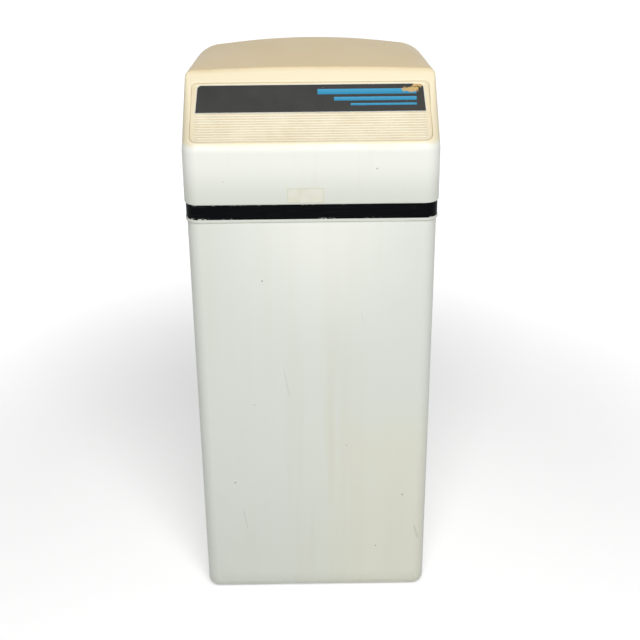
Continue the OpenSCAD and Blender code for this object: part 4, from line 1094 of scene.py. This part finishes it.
def plate_finish(shell, hood, panel):
    """A dark print with stepped stripes, worn to the metal film in one corner, with a painted highlight round
    its rim
    """
    look = Finish("label plate print")
    foot = Matrix.Translation((0.0, plate_foot(hood, panel), 0.0))
    across, up, _ = look.axes(look.turned(recess_frame(hood, panel) @ foot))
    ragged = (look.noise(190.0, 4.0, 0.7) - 0.5) * 0.018
    fleck = look.patches(0.60, 0.72, 420.0, 2.0)
    body = look.blend(look.noise(24.0, 4.0) * 0.5 + fleck * 0.12, shell.plate, PLATE_FADED)
    for low, high, left in STRIPES:
        stripe = look.within(up, low, high, PRINT_SOFT) * look.within(across, left, STRIPE_END, PRINT_SOFT)
        shade = look.blend(look.ease(up, low, high), shell.stripe, shell.stripe_pale)
        body = look.blend(stripe * (1 - fleck * 0.25), body, shade)
    worn = 0.0
    for left, right, low, high in WORN:
        patch = look.within(across + ragged, left, right, WORN_SOFT)
        worn = patch * look.within(up + ragged, low, high, WORN_SOFT) + worn
    specks = look.ease(look.cells(95.0), 0.060, 0.030) * look.patches(0.50, 0.62, 14.0)
    taper = (panel.plate_low - panel.plate_high) / 2 / panel.plate
    aside = abs(across) + up * taper - panel.plate_low / 2
    beyond = look.round_corner(aside, up - panel.plate, panel.corner).most(up * -1.0)
    # Painted highlight: a pale line round the print for the lit rim round the label plate
    border = look.ease(beyond, -panel.plate_highlight_border - PRINT_SOFT, PRINT_SOFT - panel.plate_highlight_border)
    border = border * (0.85 - look.noise(60.0, 3.0) * 0.3)
    body = look.coats(body, (specks * 0.6, shell.chip), (worn, shell.worn), (border, shell.clean))
    rough = look.noise(30.0, 3.0) * 0.16 + worn * 0.12 + 0.26
    normal = look.bump(worn * -0.00005 + look.noise(12.0) * 0.0002)
    return look.surface(
        base_color=body, metallic=worn * 0.6, roughness=rough, specular_ior_level=0.2, normal=normal
    )


# Sticker

def sticker_mesh(sticker):
    """A blank film with round corners on the front of the skirt"""
    half = sticker.width / 2
    bm = bmesh.new()
    corners = flat_face(bm, trapezoid(half, 0.0, half, sticker.height))
    round_off(bm, corners, sticker.height / 24, EDGE_STEPS, "VERTICES")
    raise_faces(bm, bm.faces, (0, 0, sticker.film))
    low = Matrix.Translation((sticker.left + half, HOOD_LOW.y, BAND_HIGH.z + sticker.low))
    return placed(bm, low @ STAND_UP)


def sticker_finish(shell, sticker):
    """A blank aged film with a thin border"""
    look = Finish("sticker aged film")
    low = BAND_HIGH.z + sticker.low
    soft = sticker.border / 3
    fields = []
    for rim in (sticker.border, 2 * sticker.border):
        field = look.within(look.x, sticker.left + rim, sticker.left + sticker.width - rim, soft)
        fields.append(field * look.within(look.z, low + rim, low + sticker.height - rim, soft))
    outer, inner = fields
    aged = look.patches(0.35, 0.75, 60.0, 4.0)
    body = look.coats(shell.sticker, (aged * 0.45, shell.stain), ((outer - inner) * 0.8, shell.border))
    rough = look.noise(40.0, 3.0) * 0.15 + 0.28
    return look.surface(base_color=body, roughness=rough, normal=look.bump(look.noise(90.0) * 0.00008))


# Numbers

def numerals(labels, ring_radius, size, film, centre):
    """Numbers clockwise in a ring, with the last one at the rear"""
    bm = bmesh.new()
    for count, label in enumerate(labels, 1):
        text = bpy.data.curves.new("numeral", "FONT")
        text.body = label
        text.size = size
        text.extrude = film / 2
        text.align_x = "CENTER"
        text.align_y = "CENTER"
        holder = bpy.data.objects.new("numeral", text)
        bpy.context.scene.collection.objects.link(holder)
        shape = holder.evaluated_get(bpy.context.evaluated_depsgraph_get())
        mesh = bpy.data.meshes.new_from_object(shape)
        turn = Matrix.Rotation(-math.tau * count / len(labels), 4, "Z")
        mesh.transform(Matrix.Translation(centre) @ turn @ Matrix.Translation((0.0, ring_radius, film / 2)))
        bm.from_mesh(mesh)
        bpy.data.objects.remove(holder)
        bpy.data.curves.remove(text)
        bpy.data.meshes.remove(mesh)
    bmesh.ops.remove_doubles(bm, verts=bm.verts, dist=film / 10)
    return bm


def ink_finish(shell):
    """Dark print, faded in patches"""
    look = Finish("printed ink")
    faded = look.patches(0.45, 0.75, 500.0, 3.0)
    body = look.blend(faded * 0.5, shell.ink, INK_FADED)
    return look.surface(base_color=body, roughness=faded * 0.2 + 0.45)


# Hidden parts

def toned(shade, factor):
    """A colour made darker or lighter"""
    return [min(1.0, part * factor) for part in shade]


def moulded_finish(name, shade, fleck=0.0):
    """Moulded plastic: faint clouds, glass flecks and a fine grain"""
    look = Finish(name)
    body = look.blend(look.noise(14.0, 4.0), toned(shade, 0.80), toned(shade, 1.12))
    flecks = look.patches(0.60, 0.70, 650.0, 1.0)
    body = look.blend(flecks * fleck + look.dust() * 0.2, body, toned(shade, 2.2))
    rough = look.noise(35.0, 3.0) * 0.18 + 0.36
    return look.surface(base_color=body, roughness=rough, normal=look.moulding(0.00004, 0.0002))


def filled_finish(name, shade):
    """Plastic filled with short glass fibres"""
    return moulded_finish(name, shade, 0.35)


def wound_finish(name, shade):
    """Glass fibre wound both ways round the vessel, under a satin coat"""
    look = Finish(name)
    middle = (VESSEL_LOW + VESSEL_HIGH) / 2
    turn = (look.y - middle.y).angle(look.x - middle.x)
    turn = turn * WINDING_STRANDS
    lead = look.z * WINDING_LEAD
    strands = (turn + lead).sine().most((turn - lead).sine())
    fibres = look.drawn(160.0, 160.0, 60.0)
    pale = look.ease(strands, 0.2, 1.0) * 0.6 + fibres * 0.3
    body = look.blend(pale, toned(shade, 0.72), toned(shade, 1.18))
    return look.surface(
        base_color=body, roughness=fibres * 0.15 + 0.32, coat_weight=0.3,
        normal=look.bump(strands * 0.00025 + fibres * 0.0001),
    )


def bead_finish(name, shade):
    """A bed of fine resin beads"""
    look = Finish(name)
    chance = look.axes(look.cells(BEAD_SCALE, "Color"))[0]
    body = look.blend(chance, toned(shade, 0.55), toned(shade, 1.35))
    return look.surface(base_color=body, roughness=0.30, normal=look.bump(look.cells(BEAD_SCALE) * -0.0005))


def rubber_finish(name, shade):
    """Matt black rubber with a pale bloom"""
    look = Finish(name)
    bloom = look.patches(0.45, 0.80, 45.0, 4.0)
    body = look.blend(bloom * 0.5, shade, toned(shade, 3.0))
    return look.surface(
        base_color=body, roughness=bloom * 0.15 + 0.62, normal=look.bump(look.noise(700.0) * 0.00005)
    )


def plated_finish(name, shade):
    """Plated metal, brushed round and a little dulled"""
    look = Finish(name)
    brushed = look.drawn(60.0, 60.0, 1600.0, detail=4.0)
    dull = look.patches(0.50, 0.75, 70.0, 4.0)
    body = look.blend(dull * 0.5, toned(shade, 1.1), toned(shade, 0.72))
    rough = brushed * 0.20 + dull * 0.18 + 0.16
    return look.surface(base_color=body, metallic=1.0, roughness=rough, normal=look.bump(brushed * 0.00002))


HIDDEN_FINISHES = {
    "vessel_blue": wound_finish,
    "resin_amber": bead_finish,
    "seal_black": rubber_finish,
    "steel": plated_finish,
    "motor_can": plated_finish,
    "valve_grey": filled_finish,
    "bypass_black": filled_finish,
    "foot_black": filled_finish,
}


# Stage

def make_floor(stage):
    """A pale floor that keeps the object's shadow and looks white to the camera"""
    bm = started(bmesh.ops.create_grid, x_segments=8, y_segments=8, size=FLOOR_HALF)
    floor = loose_object("studio_floor", bm)
    look = Finish("studio floor")
    reach = (look.x ** 2.0 + look.y ** 2.0) ** 0.5
    glow = look.blend(look.ease(reach, *GLOW_REACH), FLOOR_NEAR, FLOOR_FAR)
    shaded = look.node("ShaderNodeBsdfDiffuse", None, {"Color": stage.floor})
    bright = look.node("ShaderNodeEmission", None, {"Color": glow})
    lifted = look.node("ShaderNodeAddShader", None, {0: shaded, 1: bright})
    both = look.node("ShaderNodeMixShader", None, {0: look.seen(), 1: shaded, 2: lifted})
    floor.data.materials.append(look.close(both))


def make_world(stage):
    """Even light all round; the camera, mirrors and glass see plain white"""
    world = bpy.data.worlds.new("studio")
    bpy.context.scene.world = world
    sky = Nodes(world)
    light, white = [
        sky.node("ShaderNodeBackground", None, {"Color": (1.0, 1.0, 1.0), "Strength": strength})
        for strength in (stage.sky, 1.0)
    ]
    both = sky.node("ShaderNodeMixShader", None, {0: sky.seen(), 1: light, 2: white})
    sky.node("ShaderNodeOutputWorld", None, {"Surface": both}, None)


def make_lamp(name, power, size, place):
    """A square lamp that points at the cabinet"""
    lamp = bpy.data.lights.new(name, "AREA")
    lamp.energy = power
    lamp.size = size
    made = bpy.data.objects.new(name, lamp)
    made.location = place
    made.rotation_euler = (Vector(LAMP_AIM) - Vector(place)).to_track_quat("-Z", "Y").to_euler()
    bpy.context.scene.collection.objects.link(made)


def make_camera(stage):
    """The camera at the photo's angle"""
    camera = bpy.data.cameras.new("camera")
    camera.lens = stage.lens
    camera.sensor_width = SENSOR_MM
    made = bpy.data.objects.new("camera", camera)
    turn = Matrix.Rotation(stage.azimuth, 4, "Z")
    place = turn @ Vector((stage.aside, -stage.distance, stage.height))
    look = Matrix.Rotation(math.pi / 2 - stage.pitch, 4, "X") @ Matrix.Rotation(stage.roll, 4, "Z")
    made.matrix_world = Matrix.Translation(place) @ turn @ look
    bpy.context.scene.collection.objects.link(made)
    bpy.context.scene.camera = made


# Operators

def groups(context, *names):
    """The scene's property groups of these names"""
    return [getattr(context.scene, "softener_" + name) for name in names]


class SOFTENER_OT_cabinet(bpy.types.Operator):
    """Builds the cabinet's shell"""

    bl_idname = "softener.cabinet"
    bl_label = "Cabinet"

    def execute(self, context):
        cabinet, shell = groups(context, "cabinet", "shell")
        finish = cabinet_finish(shell)
        keep_piece(cabinet_mesh(cabinet), "cabinet_shell", finish, "cabinet", "cabinet_white", "salt_tank")
        return {"FINISHED"}


class SOFTENER_OT_hood(bpy.types.Operator):
    """Builds the lift-off hood"""

    bl_idname = "softener.hood"
    bl_label = "Hood"

    def execute(self, context):
        hood, cabinet, panel, shell = groups(context, "hood", "cabinet", "panel", "shell")
        bm = hood_mesh(hood, cabinet, panel)
        finish = hood_finish(shell, hood, panel)
        keep_piece(bm, "hood_shell", finish, "hood", "hood_white", "cover_shell")
        return {"FINISHED"}


class SOFTENER_OT_band(bpy.types.Operator):
    """Builds the black band"""

    bl_idname = "softener.band"
    bl_label = "Band"

    def execute(self, context):
        cabinet, hood, shell = groups(context, "cabinet", "hood", "shell")
        bm = band_mesh(cabinet, hood)
        keep_piece(bm, "black_band", band_finish(shell), "hood", "band_black", "trim_band")
        return {"FINISHED"}


class SOFTENER_OT_insert(bpy.types.Operator):
    """Builds the ribbed insert of the sloped panel"""

    bl_idname = "softener.insert"
    bl_label = "Ribbed insert"

    def execute(self, context):
        hood, panel, shell = groups(context, "hood", "panel", "shell")
        finish = insert_finish(shell, hood, panel)
        keep_piece(insert_mesh(hood, panel), "ribbed_insert", finish, "hood", "insert_cream", "fascia")
        return {"FINISHED"}


class SOFTENER_OT_plate(bpy.types.Operator):
    """Builds the label plate"""

    bl_idname = "softener.plate"
    bl_label = "Label plate"

    def execute(self, context):
        hood, panel, shell = groups(context, "hood", "panel", "shell")
        finish = plate_finish(shell, hood, panel)
        keep_piece(plate_mesh(hood, panel), "label_plate", finish, "hood", "plate_dark", "nameplate")
        return {"FINISHED"}


class SOFTENER_OT_sticker(bpy.types.Operator):
    """Builds the blank sticker on the skirt"""

    bl_idname = "softener.sticker"
    bl_label = "Sticker"

    def execute(self, context):
        sticker, shell = groups(context, "sticker", "shell")
        finish = sticker_finish(shell, sticker)
        keep_piece(sticker_mesh(sticker), "blank_sticker", finish, "hood", "hood_white")
        return {"FINISHED"}


class SOFTENER_OT_numbers(bpy.types.Operator):
    """Prints the hours on the time dial and the days on the day wheel"""

    bl_idname = "softener.numbers"
    bl_label = "Numbers"

    def execute(self, context):
        dial, shell = groups(context, "dial", "shell")
        finish = ink_finish(shell)
        face = (DIAL_LOW + DIAL_HIGH) / 2
        face.z = DIAL_HIGH.z - dial.face_drop
        bm = numerals(HOURS, dial.hour_ring, dial.hour_size, dial.film, face)
        keep_piece(bm, "hour_numbers", finish, "dial", "plate_dark")
        face = (WHEEL_LOW + WHEEL_HIGH) / 2
        face.z = WHEEL_HIGH.z - dial.hub_drop
        bm = numerals(DAYS, dial.day_ring, dial.day_size, dial.film, face)
        keep_piece(bm, "day_numbers", finish, "days", "plate_dark")
        return {"FINISHED"}


class SOFTENER_OT_hidden(bpy.types.Operator):
    """Gives every part inside its finish"""

    bl_idname = "softener.hidden"
    bl_label = "Hidden parts"

    def execute(self, context):
        record = frame["record"]
        finishes = {}
        for entry in record["materials"]:
            maker = HIDDEN_FINISHES.get(entry["slot"], moulded_finish)
            finishes[entry["slot"]] = maker(entry["slot"].replace("_", " "), entry["base_color"])
        for part in record["subparts"]:
            node = frame["nodes"][part["node"]]
            for slot in node.material_slots:
                slot.material = finishes[part["material_slot"]]
        return {"FINISHED"}


class SOFTENER_OT_stage(bpy.types.Operator):
    """Builds the floor, the lights and the camera"""

    bl_idname = "softener.stage"
    bl_label = "Stage"

    def execute(self, context):
        stage, = groups(context, "stage")
        context.scene.view_settings.view_transform = "Standard"
        make_floor(stage)
        make_world(stage)
        make_lamp("front light", stage.key, *FRONT_LAMP)
        make_lamp("side light", stage.fill, *SIDE_LAMP)
        make_camera(stage)
        return {"FINISHED"}


GROUPS = {
    "softener_cabinet": CabinetSizes,
    "softener_hood": HoodSizes,
    "softener_panel": PanelSizes,
    "softener_sticker": StickerSizes,
    "softener_dial": DialSizes,
    "softener_shell": ShellColours,
    "softener_stage": StageSettings,
}
STEPS = (
    SOFTENER_OT_stage,
    SOFTENER_OT_cabinet,
    SOFTENER_OT_hood,
    SOFTENER_OT_band,
    SOFTENER_OT_insert,
    SOFTENER_OT_plate,
    SOFTENER_OT_sticker,
    SOFTENER_OT_numbers,
    SOFTENER_OT_hidden,
)


class SOFTENER_PT_panel(bpy.types.Panel):
    """Lists the sizes, colours and steps"""

    bl_idname = "SOFTENER_PT_panel"
    bl_label = "Water softener"
    bl_space_type = "VIEW_3D"
    bl_region_type = "UI"
    bl_category = "Softener"

    def draw(self, context):
        for name, group in GROUPS.items():
            box = self.layout.box()
            box.label(text=group.__doc__)
            for field in group.__annotations__:
                box.prop(getattr(context.scene, name), field)
        for step in STEPS:
            self.layout.operator(step.bl_idname)


def register():
    for item in (*GROUPS.values(), *STEPS, SOFTENER_PT_panel):
        bpy.utils.register_class(item)
    for name, group in GROUPS.items():
        setattr(bpy.types.Scene, name, PointerProperty(type=group))


def unregister():
    for name in GROUPS:
        delattr(bpy.types.Scene, name)
    for item in reversed((*GROUPS.values(), *STEPS, SOFTENER_PT_panel)):
        bpy.utils.unregister_class(item)


def main():
    register()
    for step in STEPS:
        group, name = step.bl_idname.split(".")
        getattr(getattr(bpy.ops, group), name)()


if __name__ == "__main__":
    main()
